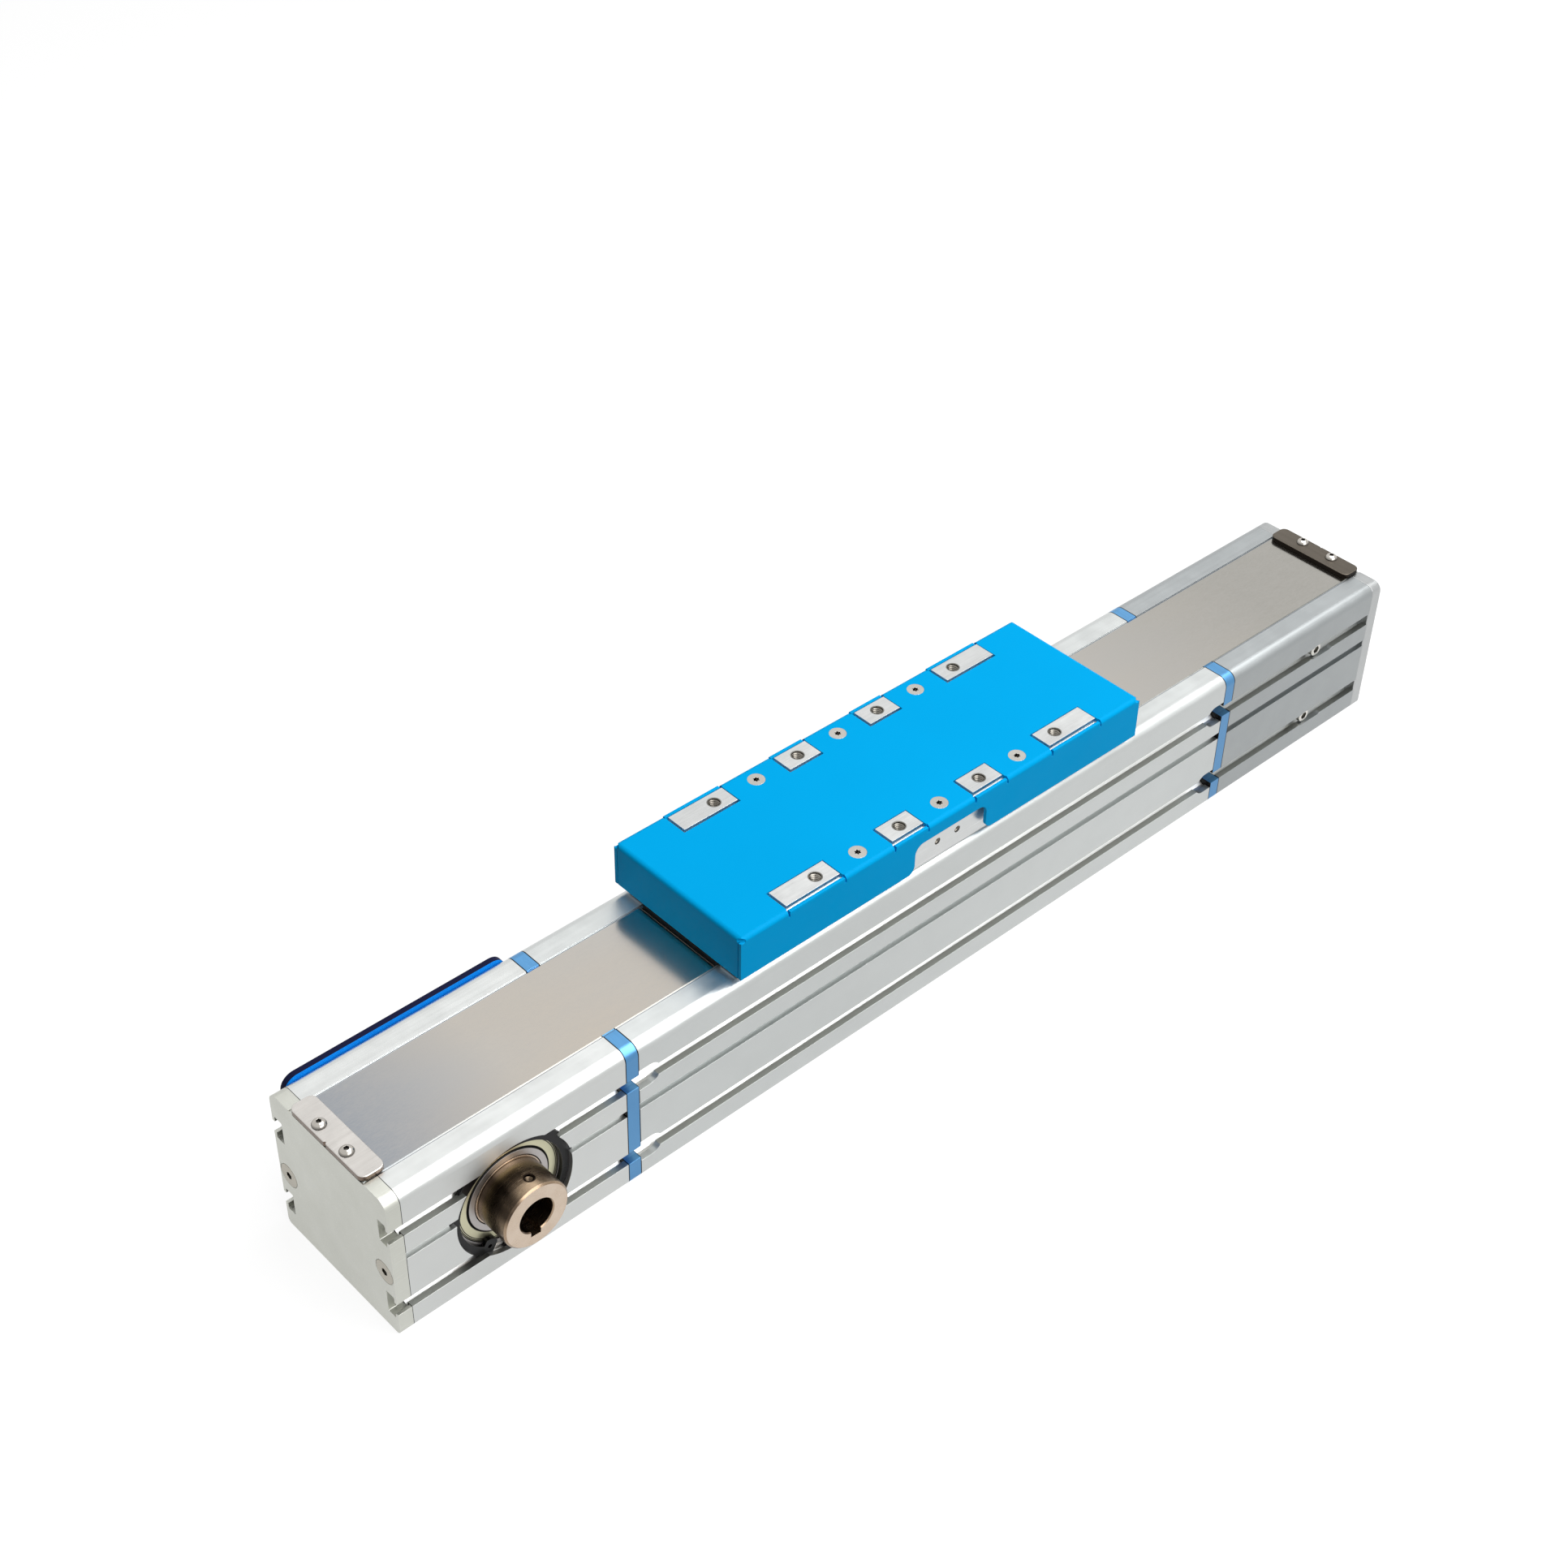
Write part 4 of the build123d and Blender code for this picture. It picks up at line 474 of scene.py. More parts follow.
@dataclass(frozen=True)
class Finish(ABC):
    """A finish with its colour and gloss, which each kind refines."""

    name: str
    colour: Colour
    metallic: float = 0.0
    roughness: float = 0.5
    edge_radius: float = 0.0003
    edge_gain: float = 5.0

    @abstractmethod
    def dress(self, coat: Coat) -> None:
        """Joins the finish's patterns to a material in work."""

    def tinted(self, factor: float, lift: float = 0.0) -> Colour:
        """The colour multiplied and lifted, at most 1 in each channel."""
        return tuple(min(1.0, value * factor + lift) for value in self.colour)

    def swing(self, coat: Coat, value: Socket, reach: Pair, down: float, up: float) -> None:
        """Lets a value swing the roughness round the finish's own.

        Args:
            coat: The material in work.
            value: The value that swings it.
            reach: The range of the value that is read.
            down: How far the roughness falls.
            up: How far it rises.
        """
        coat.gloss(coat.wiring.span(value, *reach, self.roughness - down, self.roughness + up))

    def edge(self, coat: Coat, rounded: Socket) -> Socket:
        """The mask of broken edges, from the normal that has the edge break."""
        return coat.read(coat.patterns.edges, "Edge", Rounded=rounded, Gain=self.edge_gain)

    def relief(self, coat: Coat, height: Socket, distance: float) -> Socket:
        """Gives the material a bump over its edge break.

        Args:
            coat: The material in work.
            height: The bump's height from 0 to 1.
            distance: What a height of 1 stands for, in metres.

        Returns:
            The normal with only the edge break.
        """
        rounded = coat.wiring.add("ShaderNodeBevel", samples=4)
        rounded.inputs["Radius"].default_value = self.edge_radius
        bump = coat.wiring.add("ShaderNodeBump")
        coat.wiring.feed(bump, {"Strength": 1.0, "Distance": distance, "Height": height,
                                "Normal": rounded.outputs["Normal"]})
        coat.wiring.join(bump.outputs["Normal"], coat.shader.inputs["Normal"])
        return rounded.outputs["Normal"]

    def build(self, patterns: Patterns) -> bpy.types.Material:
        """Makes the material.

        Args:
            patterns: The shared effects.

        Returns:
            The finished material.
        """
        material = bpy.data.materials.new(self.name)
        material.use_nodes = True
        material.diffuse_color = (*self.colour, 1.0)
        coat = Coat(Wiring(material.node_tree), material.node_tree.nodes["Principled BSDF"], patterns)
        coat.wiring.feed(coat.shader, {"Base Color": (*self.colour, 1.0), "Metallic": self.metallic,
                                       "Roughness": self.roughness})
        self.dress(coat)
        return material


@dataclass(frozen=True)
class DrawnMetal(Finish):
    """Extruded, rolled, turned or brushed metal with lines along one direction."""

    shade: Colour = (0.6, 0.6, 0.6)
    stretch: Triple = (14.0, 1800.0, 1800.0)
    turn: Triple = (0.0, 0.0, 0.0)
    contrast: float = 1.2
    gloss_swing: float = 0.08
    line_depth: float = 0.000006
    edge_wear_and_highlight: float = 0.4

    def dress(self, coat: Coat) -> None:
        """Adds grain, haze, and edges lightened partly for wear and partly as a painted highlight.

        Args:
            coat: The material in work.
        """
        wiring, place = coat.wiring, coat.place()
        lines = wiring.stretched(place, self.stretch, self.turn)
        grain = coat.read(coat.patterns.grain, "Grain", Vector=lines, Contrast=self.contrast)
        cloud, mottle = coat.haze(place)
        rounded = self.relief(coat, grain, self.line_depth)
        edge = self.edge(coat, rounded)
        tone = wiring.plus(wiring.times(grain, 0.55), wiring.times(cloud, 0.45))
        body = wiring.mix(tone, self.shade, self.colour)
        # Broken edges are lightened, partly for real edge wear and partly as a painted highlight.
        coat.paint(wiring.mix(wiring.times(edge, self.edge_wear_and_highlight), body, self.tinted(1.08, 0.03)))
        both = wiring.plus(wiring.times(grain, 0.6), wiring.times(mottle, 0.4))
        self.swing(coat, both, (0.2, 0.8), self.gloss_swing, self.gloss_swing)


@dataclass(frozen=True)
class MilledMetal(DrawnMetal):
    """Metal faces left by a cutter, with hairline scratches from handling."""

    scratch_tone: float = 0.25

    def dress(self, coat: Coat) -> None:
        """Adds cutter lines, scratches and haze.

        Args:
            coat: The material in work.
        """
        super().dress(coat)
        wiring = coat.wiring
        scratch = coat.read(coat.patterns.scratches, "Scratch", Vector=coat.place())
        coat.lay(wiring.times(scratch, self.scratch_tone), self.tinted(1.15, 0.02))
        smooth = coat.shader.inputs["Roughness"].links[0].from_socket
        coat.gloss(wiring.less(smooth, wiring.times(scratch, 0.1)))


@dataclass(frozen=True)
class ProfileMetal(DrawnMetal):
    """Drawn profile or plate with painted light in its slots, painted shade on its side faces, its lip faces
    and the gap beside the strip, and dark seams where pieces meet.
    """

    seams: tuple[float, ...] = ()
    seam_half: float = 0.0003
    seam_tone: Colour = (0.012, 0.012, 0.012)
    slot_depth: float = 0.0437
    slot_fade: float = 0.0004
    slot_top: Pair = (0.0895, 0.0885)
    slot_foot: Pair = (0.004, 0.005)
    slot_light_tone: Colour = (0.97, 0.97, 0.95)
    bed_edge: float = 0.0301
    bed_level: float = 0.0925
    bed_gap_shade: Colour = (0.10, 0.12, 0.16)
    side_shade_share: float = 0.42
    side_shade_dim: float = 0.62
    lip_levels: tuple[float, ...] = (0.066, 0.0146)
    lip_face: float = 0.0474
    lip_shade_tone: Colour = (0.4, 0.41, 0.39)

    def dress(self, coat: Coat) -> None:
        """Adds grain, painted slot light, painted shade and seams.

        Args:
            coat: The material in work.
        """
        super().dress(coat)
        wiring = coat.wiring
        # Painted shade: faces that look along Y are darkened toward a dim copy of the shade colour.
        upright = wiring.span(wiring.size(coat.facing("Y")), 0.6, 0.95, 0.0, self.side_shade_share)
        coat.lay(upright, tuple(value * self.side_shade_dim for value in self.shade))
        place = coat.place()
        level, depth = wiring.part(place, "Z"), wiring.size(wiring.part(place, "Y"))
        # Painted light: the slot interiors are lifted toward a near-white tone.
        between = wiring.times(wiring.span(level, *self.slot_top), wiring.span(level, *self.slot_foot))
        slot = wiring.times(wiring.within(depth, self.slot_depth, self.slot_fade), between)
        coat.lay(slot, self.slot_light_tone)
        # Painted shade: the lip faces at the listed levels get a mid-grey tone.
        on_lip = wiring.times(wiring.within(depth, self.lip_face, FADE), wiring.less(1.0, slot))
        for height in self.lip_levels:
            coat.lay(wiring.times(coat.line(level, height, HAIR), on_lip), self.lip_shade_tone)
        # Painted shadow: a dark line on the floor of the gap beside the strip.
        beside_strip = coat.line(depth, self.bed_edge, HAIR)
        on_top = wiring.span(level, self.bed_level, self.bed_level + FADE)
        coat.lay(wiring.times(beside_strip, on_top), self.bed_gap_shade)
        along = wiring.part(place, "X")
        for seam in self.seams:
            coat.lay(coat.line(along, seam, self.seam_half), self.seam_tone)


@dataclass(frozen=True)
class RingedMetal(DrawnMetal):
    """Round bearing part with dark lines at chosen radii from its axle."""

    axle: Pair = (-0.303, 0.0448)
    lines: tuple[float, ...] = ()
    line_half: float = 0.00025
    line_tone: Colour = (0.012, 0.011, 0.01)

    def dress(self, coat: Coat) -> None:
        """Adds grain and the ring lines.

        Args:
            coat: The material in work.
        """
        super().dress(coat)
        reach = coat.read(coat.patterns.radius, "Radius", Vector=coat.place(), Centre_X=self.axle[0],
                          Centre_Z=self.axle[1])
        for radius in self.lines:
            coat.lay(coat.line(reach, radius, self.line_half), self.line_tone)


@dataclass(frozen=True)
class HollowMetal(DrawnMetal):
    """Metal of small fasteners, with painted shade in its sockets and inner corners."""

    hollow: Colour = (0.015, 0.014, 0.013)
    hollow_shade_reach: float = 0.0016

    def dress(self, coat: Coat) -> None:
        """Adds grain and the painted shade of the sockets and inner corners."""
        super().dress(coat)
        # Painted shade: sockets and inner corners are darkened by local ambient occlusion.
        coat.lay(coat.read(coat.patterns.crevice, "Hollow", Reach=self.hollow_shade_reach), self.hollow)


@dataclass(frozen=True)
class BladeMetal(HollowMetal):
    """Metal painted darker on its upright faces than on its upper faces: painted shade, and on domed screw
    heads a painted dark reflection.
    """

    side_shade_tone: Colour = (0.1, 0.08, 0.06)

    def dress(self, coat: Coat) -> None:
        """Adds grain, the painted shade in sockets and the painted shade on upright faces."""
        super().dress(coat)
        # Painted shade: faces that turn sideways are darkened, and on domed heads this is a painted dark
        # reflection.
        coat.lay(coat.wiring.span(coat.facing("Z"), 0.7, 0.4), self.side_shade_tone)


@dataclass(frozen=True)
class TurnedHub(MilledMetal):
    """Turned and heat-tinted shaft with a clean faced end, long dark bands round its side that are partly
    burnish and partly a painted dark reflection, and painted shade at the mouth of its set screw hole.
    """

    faced: Colour = (0.6, 0.5, 0.42)
    dark_burnish_and_shade: Colour = (0.03, 0.02, 0.015)
    bands: Triple = (46.0, 5.0, 46.0)
    band_turn: Triple = (0.0, 35.0, 0.0)
    hole: Triple = (-0.3008, -0.0566, 0.06408)
    hole_shade_radius: float = 0.0031

    def dress(self, coat: Coat) -> None:
        """Adds turning lines, the dark bands, the faced end and the painted shade of the hole's mouth.

        Args:
            coat: The material in work.
        """
        super().dress(coat)
        wiring, place = coat.wiring, coat.place()
        # Dark bands round the side: partly real burnish, partly a painted dark reflection.
        band = wiring.noise(wiring.stretched(place, self.bands, self.band_turn), 1.0)
        coat.lay(wiring.span(band, 0.45, 0.62, 0.0, 0.85), self.dark_burnish_and_shade)
        end = wiring.span(wiring.size(coat.facing("Y")), 0.80, 0.95)
        worn = coat.haze(place)[1]
        coat.lay(end, wiring.mix(wiring.times(worn, 0.5), self.faced, self.colour))
        # Painted shade: a dark disc round the set screw hole stands for its mouth.
        apart = wiring.add("ShaderNodeVectorMath", operation="DISTANCE")
        wiring.feed(apart, {0: place, 1: self.hole})
        mouth = wiring.within(apart.outputs["Value"], self.hole_shade_radius + FADE, 2 * FADE)
        coat.lay(mouth, self.dark_burnish_and_shade)


@dataclass(frozen=True)
class PadMetal(MilledMetal):
    """Milled carriage metal with painted shade rings that stand for the countersunk mouths of its tapped holes.
    """

    centre_x: float = CARRIAGE_X
    hole_xs: Pair = (0.03, 0.09)
    hole_y: float = 0.0391
    mouth_radius: float = 0.0040
    mouth_shade_tone: Colour = (0.2, 0.195, 0.18)

    def dress(self, coat: Coat) -> None:
        """Adds cutter lines and the painted shade rings of the hole mouths.

        Args:
            coat: The material in work.
        """
        super().dress(coat)
        wiring, place = coat.wiring, coat.place()
        off_x = wiring.size(wiring.less(wiring.part(place, "X"), self.centre_x))
        gap_y = wiring.less(wiring.size(wiring.part(place, "Y")), self.hole_y)
        # Painted shade: dark rings stand for the countersunk mouths of the holes.
        for hole_x in self.hole_xs:
            gap_x = wiring.less(off_x, hole_x)
            reach = wiring.math("SQRT", wiring.plus(wiring.times(gap_x, gap_x), wiring.times(gap_y, gap_y)))
            coat.lay(wiring.within(reach, self.mouth_radius + FADE, 2 * FADE), self.mouth_shade_tone)


@dataclass(frozen=True)
class RolledStrip(Finish):
    """Thin rolled stainless strip: fine brushing, warm clouds, a cooler tint near one end, and painted shade
    toward the tail end.
    """

    warm: Colour = (0.55, 0.5, 0.44)
    cool: Colour = (0.45, 0.5, 0.56)
    cool_reach: Pair = (-0.28, -0.365)
    tail_shade: Colour = (0.42, 0.41, 0.38)
    tail_shade_reach: Pair = (0.12, 0.30)
    brushing: Triple = (420.0, 1300.0, 1300.0)
    contrast: float = 0.7
    clouds: Triple = (7.0, 16.0, 16.0)

    def dress(self, coat: Coat) -> None:
        """Adds brushing, clouds, tint and the painted shade toward the tail.

        Args:
            coat: The material in work.
        """
        wiring, place = coat.wiring, coat.place()
        grain = coat.read(coat.patterns.grain, "Grain", Contrast=self.contrast,
                          Vector=wiring.stretched(place, self.brushing))
        cloud = wiring.span(wiring.noise(wiring.stretched(place, self.clouds), 1.0, 1.0), 0.3, 0.7)
        blotched = wiring.mix(cloud, self.colour, self.warm)
        along = wiring.part(place, "X")
        cooled = wiring.mix(wiring.span(along, *self.cool_reach), blotched, self.cool)
        # Painted shade: the strip darkens toward the tail end.
        tail_shaded = wiring.mix(wiring.span(along, *self.tail_shade_reach), cooled, self.tail_shade)
        coat.paint(wiring.mix(wiring.span(grain, 0.3, 0.7, 0.5, 0.0), tail_shaded, self.tinted(0.9)))
        self.swing(coat, cloud, (0.0, 1.0), 0.02, 0.03)


@dataclass(frozen=True)
class CoatedSheet(Finish):
    """Sheet metal under a smooth paint with faint orange peel."""

    peel: float = 0.00001
    peel_scale: float = 700.0
    gloss_level: float = 0.25
    edge_gain: float = 3.0

    def dress(self, coat: Coat) -> None:
        """Adds orange peel, tone, and thin edges with a painted highlight.

        Args:
            coat: The material in work.
        """
        coat.shader.inputs["Specular IOR Level"].default_value = self.gloss_level
        wiring, place = coat.wiring, coat.place()
        cloud, mottle = coat.haze(place)
        rounded = self.relief(coat, wiring.noise(place, self.peel_scale), self.peel)
        edge = self.edge(coat, rounded)
        body = wiring.mix(wiring.times(cloud, 0.5), self.colour, self.tinted(0.9))
        # Painted highlight: the edges are lightened.
        coat.paint(wiring.mix(wiring.times(edge, 0.5), body, self.tinted(1.05, 0.03)))
        self.swing(coat, mottle, (0.0, 1.0), 0.05, 0.05)


@dataclass(frozen=True)
class Blackened(Finish):
    """Oxide-blackened spring or screw steel with rubbed edges."""

    rubbed: Colour = (0.16, 0.15, 0.14)
    crust: float = 0.00001

    def dress(self, coat: Coat) -> None:
        """Adds oxide mottle and rubbed edges.

        Args:
            coat: The material in work.
        """
        wiring, mottle = coat.wiring, coat.haze(coat.place())[1]
        rounded = self.relief(coat, mottle, self.crust)
        edge = self.edge(coat, rounded)
        share = wiring.times(edge, wiring.span(mottle, 0.2, 0.8, 0.2, 0.8))
        coat.paint(wiring.mix(share, self.colour, self.rubbed))
        self.swing(coat, mottle, (0.0, 1.0), 0.08, 0.1)


@dataclass(frozen=True)
class Moulded(Finish):
    """Moulded rubber, plastic or belt polymer with a fine skin."""

    skin_scale: float = 900.0
    skin_depth: float = 0.00003
    gloss_level: float = 0.3

    def dress(self, coat: Coat) -> None:
        """Adds skin and tone.

        Args:
            coat: The material in work.
        """
        coat.shader.inputs["Specular IOR Level"].default_value = self.gloss_level
        wiring, place = coat.wiring, coat.place()
        cloud = coat.haze(place)[0]
        skin = wiring.noise(place, self.skin_scale, 3.0, 0.6)
        self.relief(coat, skin, self.skin_depth)
        coat.paint(wiring.mix(cloud, self.colour, self.tinted(0.78)))
        self.swing(coat, skin, (0.3, 0.7), 0.07, 0.07)


END_SEAM, HEAD_SEAM, JOINT_SEAM = 0.367, 0.233, 0.225
BOTH_JOINTS = (-HEAD_SEAM, -JOINT_SEAM, JOINT_SEAM, HEAD_SEAM)

FINISHES: dict[str, Finish] = {
    "extrusion": ProfileMetal("satin_aluminium", linear(210, 213, 212), 1.0, 0.36, 0.0003,
                              shade=linear(198, 201, 200), seams=BOTH_JOINTS),
    # Painted light and shade: the drive head is painted a shade lighter and the tail head darker than the
    # extrusion, for light that falls off toward the tail.
    "drive_head": ProfileMetal("satin_aluminium_drive_lit", linear(214, 216, 215), 1.0, 0.34, 0.0003,
                               shade=linear(205, 207, 205), seams=(-END_SEAM, -HEAD_SEAM)),
    "tail_head": ProfileMetal("satin_aluminium_tail_shaded", linear(172, 176, 177), 1.0, 0.38, 0.0003,
                              shade=linear(160, 164, 165), seams=(HEAD_SEAM,),
                              slot_light_tone=linear(205, 207, 205)),
    # Painted shade: the tail plate is painted darker than the drive end plate.
    "tail_plate": DrawnMetal("milled_tail_plate_shaded", linear(178, 180, 180), 1.0, 0.36, 0.0004,
                             shade=linear(168, 170, 170), stretch=(900.0, 60.0, 900.0)),
    "end_plate": MilledMetal("milled_plate_aluminium", linear(200, 201, 195), 1.0, 0.42, 0.0004,
                             shade=linear(184, 185, 176), stretch=(900.0, 60.0, 900.0), contrast=0.9),
    "blue_anodised": ProfileMetal("blue_anodised_plate", linear(104, 160, 205), 1.0, 0.36, 0.0005,
                                  shade=linear(84, 140, 190), stretch=(900.0, 40.0, 900.0), edge_wear_and_highlight=0.6,
                                  seams=BOTH_JOINTS, slot_light_tone=linear(110, 165, 212), lip_levels=()),
    "strip_steel": RolledStrip("rolled_cover_strip", linear(196, 193, 188), 1.0, 0.18, 0.0001,
                               warm=linear(200, 190, 176), cool=linear(150, 157, 166),
                               tail_shade=linear(166, 164, 157)),
    # Painted shade: the clamps' upright faces are darkened toward a dark brown.
    "drive_clamp": BladeMetal("brushed_clamp_steel", linear(212, 209, 205), 1.0, 0.34, 0.0005,
                              shade=linear(190, 186, 181), stretch=(60.0, 1900.0, 1900.0), contrast=1.5,
                              side_shade_tone=linear(112, 98, 88)),
    # The tail clamp is painted much darker and browner than the drive clamp; part of that is painted shade of
    # the tail end.
    "tail_clamp": BladeMetal("shaded_tail_clamp_steel", linear(108, 101, 92), 1.0, 0.4, 0.0005,
                             shade=linear(80, 74, 66), side_shade_tone=linear(38, 33, 29),
                             stretch=(1900.0, 60.0, 1900.0), contrast=1.3, edge_wear_and_highlight=0.15),
    "bright_steel": HollowMetal("bright_screw_steel", linear(214, 212, 206), 1.0, 0.2, 0.00025,
                                shade=linear(184, 181, 174), stretch=(500.0, 500.0, 500.0)),
    "plate_screw": HollowMetal("plate_screw_steel", linear(178, 173, 160), 1.0, 0.3, 0.0003,
                               shade=linear(146, 141, 128), stretch=(500.0, 500.0, 500.0), hollow_shade_reach=0.003),
    # Painted reflection: the rims of the domed button heads are darkened.
    "button_steel": BladeMetal("button_screw_steel", linear(214, 210, 203), 1.0, 0.16, 0.00025,
                               shade=linear(160, 154, 146), stretch=(500.0, 500.0, 500.0),
                               side_shade_tone=(0.05, 0.045, 0.04)),
    "hidden_screw": Blackened("black_screw_steel", linear(34, 33, 32), 0.9, 0.45, 0.00015),
    "bearing_steel": RingedMetal("ground_bearing_steel", linear(188, 184, 182), 1.0, 0.42, 0.0003,
                                 shade=linear(150, 146, 144), stretch=(400.0, 700.0, 400.0),
                                 lines=(0.0203, 0.0241, 0.0305)),
    "bearing_shield": RingedMetal("pressed_bearing_shield", linear(214, 212, 184), 0.7, 0.38, 0.0003,
                                  shade=linear(190, 186, 152), stretch=(160.0, 160.0, 160.0),
                                  lines=(0.0248, 0.0291, 0.0299)),
    "spring_steel": Blackened("blackened_spring_steel", linear(20, 20, 22), 0.8, 0.3, 0.0003),
    "shaft_steel": TurnedHub("burnished_shaft_steel", linear(176, 154, 130), 1.0, 0.26, 0.0004,
                             shade=linear(128, 108, 88), stretch=(120.0, 2600.0, 120.0), contrast=1.5,
                             gloss_swing=0.09, faced=linear(200, 184, 168)),
    "pulley_metal": DrawnMetal("turned_pulley_aluminium", linear(206, 208, 210), 1.0, 0.34, 0.0003,
                               shade=linear(180, 183, 186), stretch=(300.0, 900.0, 300.0)),
    "saddle_metal": PadMetal("milled_saddle_aluminium", linear(216, 217, 216), 1.0, 0.33, 0.0003,
                             shade=linear(190, 192, 192), stretch=(90.0, 1500.0, 1500.0),
                             turn=(0.0, 0.0, 12.0), contrast=1.4, scratch_tone=0.6),
    # Painted shade: the threads are painted darker than the metal they are cut in, for the shade inside the
    # holes.
    "tapped_thread": DrawnMetal("shaded_thread_aluminium", linear(168, 164, 156), 1.0, 0.26, 0.0001,
                                shade=linear(92, 87, 79), stretch=(900.0, 900.0, 900.0)),
    "hub_thread": DrawnMetal("shaded_thread_steel", linear(128, 112, 94), 1.0, 0.26, 0.0001,
                             shade=linear(48, 39, 31), stretch=(900.0, 900.0, 900.0)),
    "cover_blue": CoatedSheet("blue_painted_sheet", linear(0, 170, 235), 0.0, 0.42, 0.0004,
                              gloss_level=0.03, peel=0.00002),
    "flap_blue": CoatedSheet("blue_painted_flap", linear(0, 170, 235), 0.0, 0.42, 0.00005,
                             gloss_level=0.03, peel=0.00002),
    "belt": Moulded("white_belt_polymer", linear(214, 212, 204), 0.0, 0.5, 0.0002),
    "buffer_rubber": Moulded("black_buffer_rubber", linear(26, 26, 27), 0.0, 0.75, 0.0004),
    "slide_plastic": Moulded("dark_slide_plastic", linear(30, 31, 33), 0.0, 0.45, 0.0003, skin_depth=0.00001,
                             gloss_level=0.15),
    "magnet": Moulded("brown_magnet_tape", linear(58, 48, 42), 0.0, 0.6, 0.0002),
    "gasket_blue": Moulded("blue_gasket_sheet", linear(14, 146, 255), 0.0, 0.5, 0.0001, gloss_level=0.08),
    "side_plate_navy": CoatedSheet("navy_painted_plate", linear(24, 27, 58), 0.0, 0.5, 0.0004,
                                   gloss_level=0.05),
}

NODE_FINISHES = {
    "drive_head": "drive_head",
    "tail_head": "tail_head",
    "drive_strip_clamp": "drive_clamp",
    "tail_strip_clamp": "tail_clamp",
    "strip_clamp_screws": "button_steel",
    "end_plate_screws": "plate_screw",
    "tension_screws": "plate_screw",
}


class FinishShop:
    """Builds each finish once and gives it to pieces."""

    def __init__(self) -> None:
        """Builds the effects and the materials."""
        patterns = Patterns()
        self.materials = {slot: finish.build(patterns) for slot, finish in FINISHES.items()}

    def dress_nodes(self) -> int:
        """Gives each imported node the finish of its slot.

        Returns:
            How many nodes were dressed.
        """
        entries = frame["record"]["subparts"]
        for entry in entries:
            node = entry["node"]
            self.dress(frame["nodes"][node], NODE_FINISHES.get(node, entry["material_slot"]))
        return len(entries)

    def dress(self, piece: bpy.types.Object, slot: str) -> None:
        """Gives one piece a finish.

        Args:
            piece: The piece.
            slot: Name of the finish, which is most often the record's material slot.
        """
        for holder in piece.material_slots:
            holder.material = self.materials[slot]
        if not piece.material_slots:
            piece.data.materials.append(self.materials[slot])


# ---- meshes ----
def object_from(name: str, shape: Shape) -> bpy.types.Object:
    """Turns a shape into an object in the scene, and frees the shape.

    Args:
        name: The object's name.
        shape: The shape.

    Returns:
        The new object.
    """
    mesh = bpy.data.meshes.new(name)
    shape.to_mesh(mesh)
    shape.free()
    made = bpy.data.objects.new(name, mesh)
    bpy.context.scene.collection.objects.link(made)
    return made


def piece_from(name: str, shape: Shape, smooth_below: float = 0.6) -> bpy.types.Object:
    """Turns a finished shape into a piece at the origin.

    Args:
        name: The piece's name.
        shape: The shape, which is freed.
        smooth_below: Edges that turn less than this, in radians, are shaded smooth.

    Returns:
        The new piece.
    """
    bmesh.ops.recalc_face_normals(shape, faces=shape.faces)
    for face in shape.faces:
        face.smooth = True
    for edge in shape.edges:
        edge.smooth = len(edge.link_faces) == 2 and edge.calc_face_angle(0.0) < smooth_below
    return object_from(name, shape)


def add_shape(whole: Shape, part: Shape) -> None:
    """Adds a part to a larger shape.

    Args:
        whole: The shape that grows.
        part: The shape that is added, which is freed.
    """
    mesh = bpy.data.meshes.new("part")
    part.to_mesh(mesh)
    part.free()
    whole.from_mesh(mesh)
    bpy.data.meshes.remove(mesh)


def mount(name: str) -> dict:
    """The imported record's mount of that name."""
    return next(entry for entry in frame["record"]["mounts"] if entry["name"] == name)


def box_shape(low: Triple, high: Triple) -> Shape:
    """A box between two corners.

    Args:
        low: The lower corner.
        high: The upper corner.

    Returns:
        The new shape.
    """
    shape = bmesh.new()
    bmesh.ops.create_cube(shape, size=1.0)
    bmesh.ops.scale(shape, vec=Vector(high) - Vector(low), verts=shape.verts)
    bmesh.ops.translate(shape, vec=(Vector(high) + Vector(low)) / 2, verts=shape.verts)
    return shape


def cone_shape(place: Matrix, depth: float, near: float, far: float) -> Shape:
    """A round cutter that runs along its own +Z from the origin of its place.

    Args:
        place: Where it starts and which way it points.
        depth: Its length.
        near: Radius at the start.
        far: Radius at the end.

    Returns:
        The new shape.
    """
    shape = bmesh.new()
    middle = place @ Matrix.Translation((0.0, 0.0, depth / 2))
    bmesh.ops.create_cone(shape, cap_ends=True, segments=ROUND_STEPS, radius1=near, radius2=far, depth=depth,
                          matrix=middle)
    return shape


def along_x(edge: bmesh.types.BMEdge) -> bool:
    """Whether an edge of a box runs along X."""
    return abs(edge.verts[0].co.x - edge.verts[1].co.x) > NEAR


def lies_at(edge: bmesh.types.BMEdge, axis: int, level: float) -> bool:
    """Whether both ends of an edge lie at one coordinate."""
    return all(abs(vert.co[axis] - level) < NEAR for vert in edge.verts)


def round_edges(shape: Shape, edges: list[bmesh.types.BMEdge], radius: float, segments: int) -> None:
    """Rounds or, with one segment, chamfers chosen edges."""
    bmesh.ops.bevel(shape, geom=edges, offset=radius, offset_type="OFFSET", segments=segments, profile=0.5,
                    affect="EDGES", material=-1)


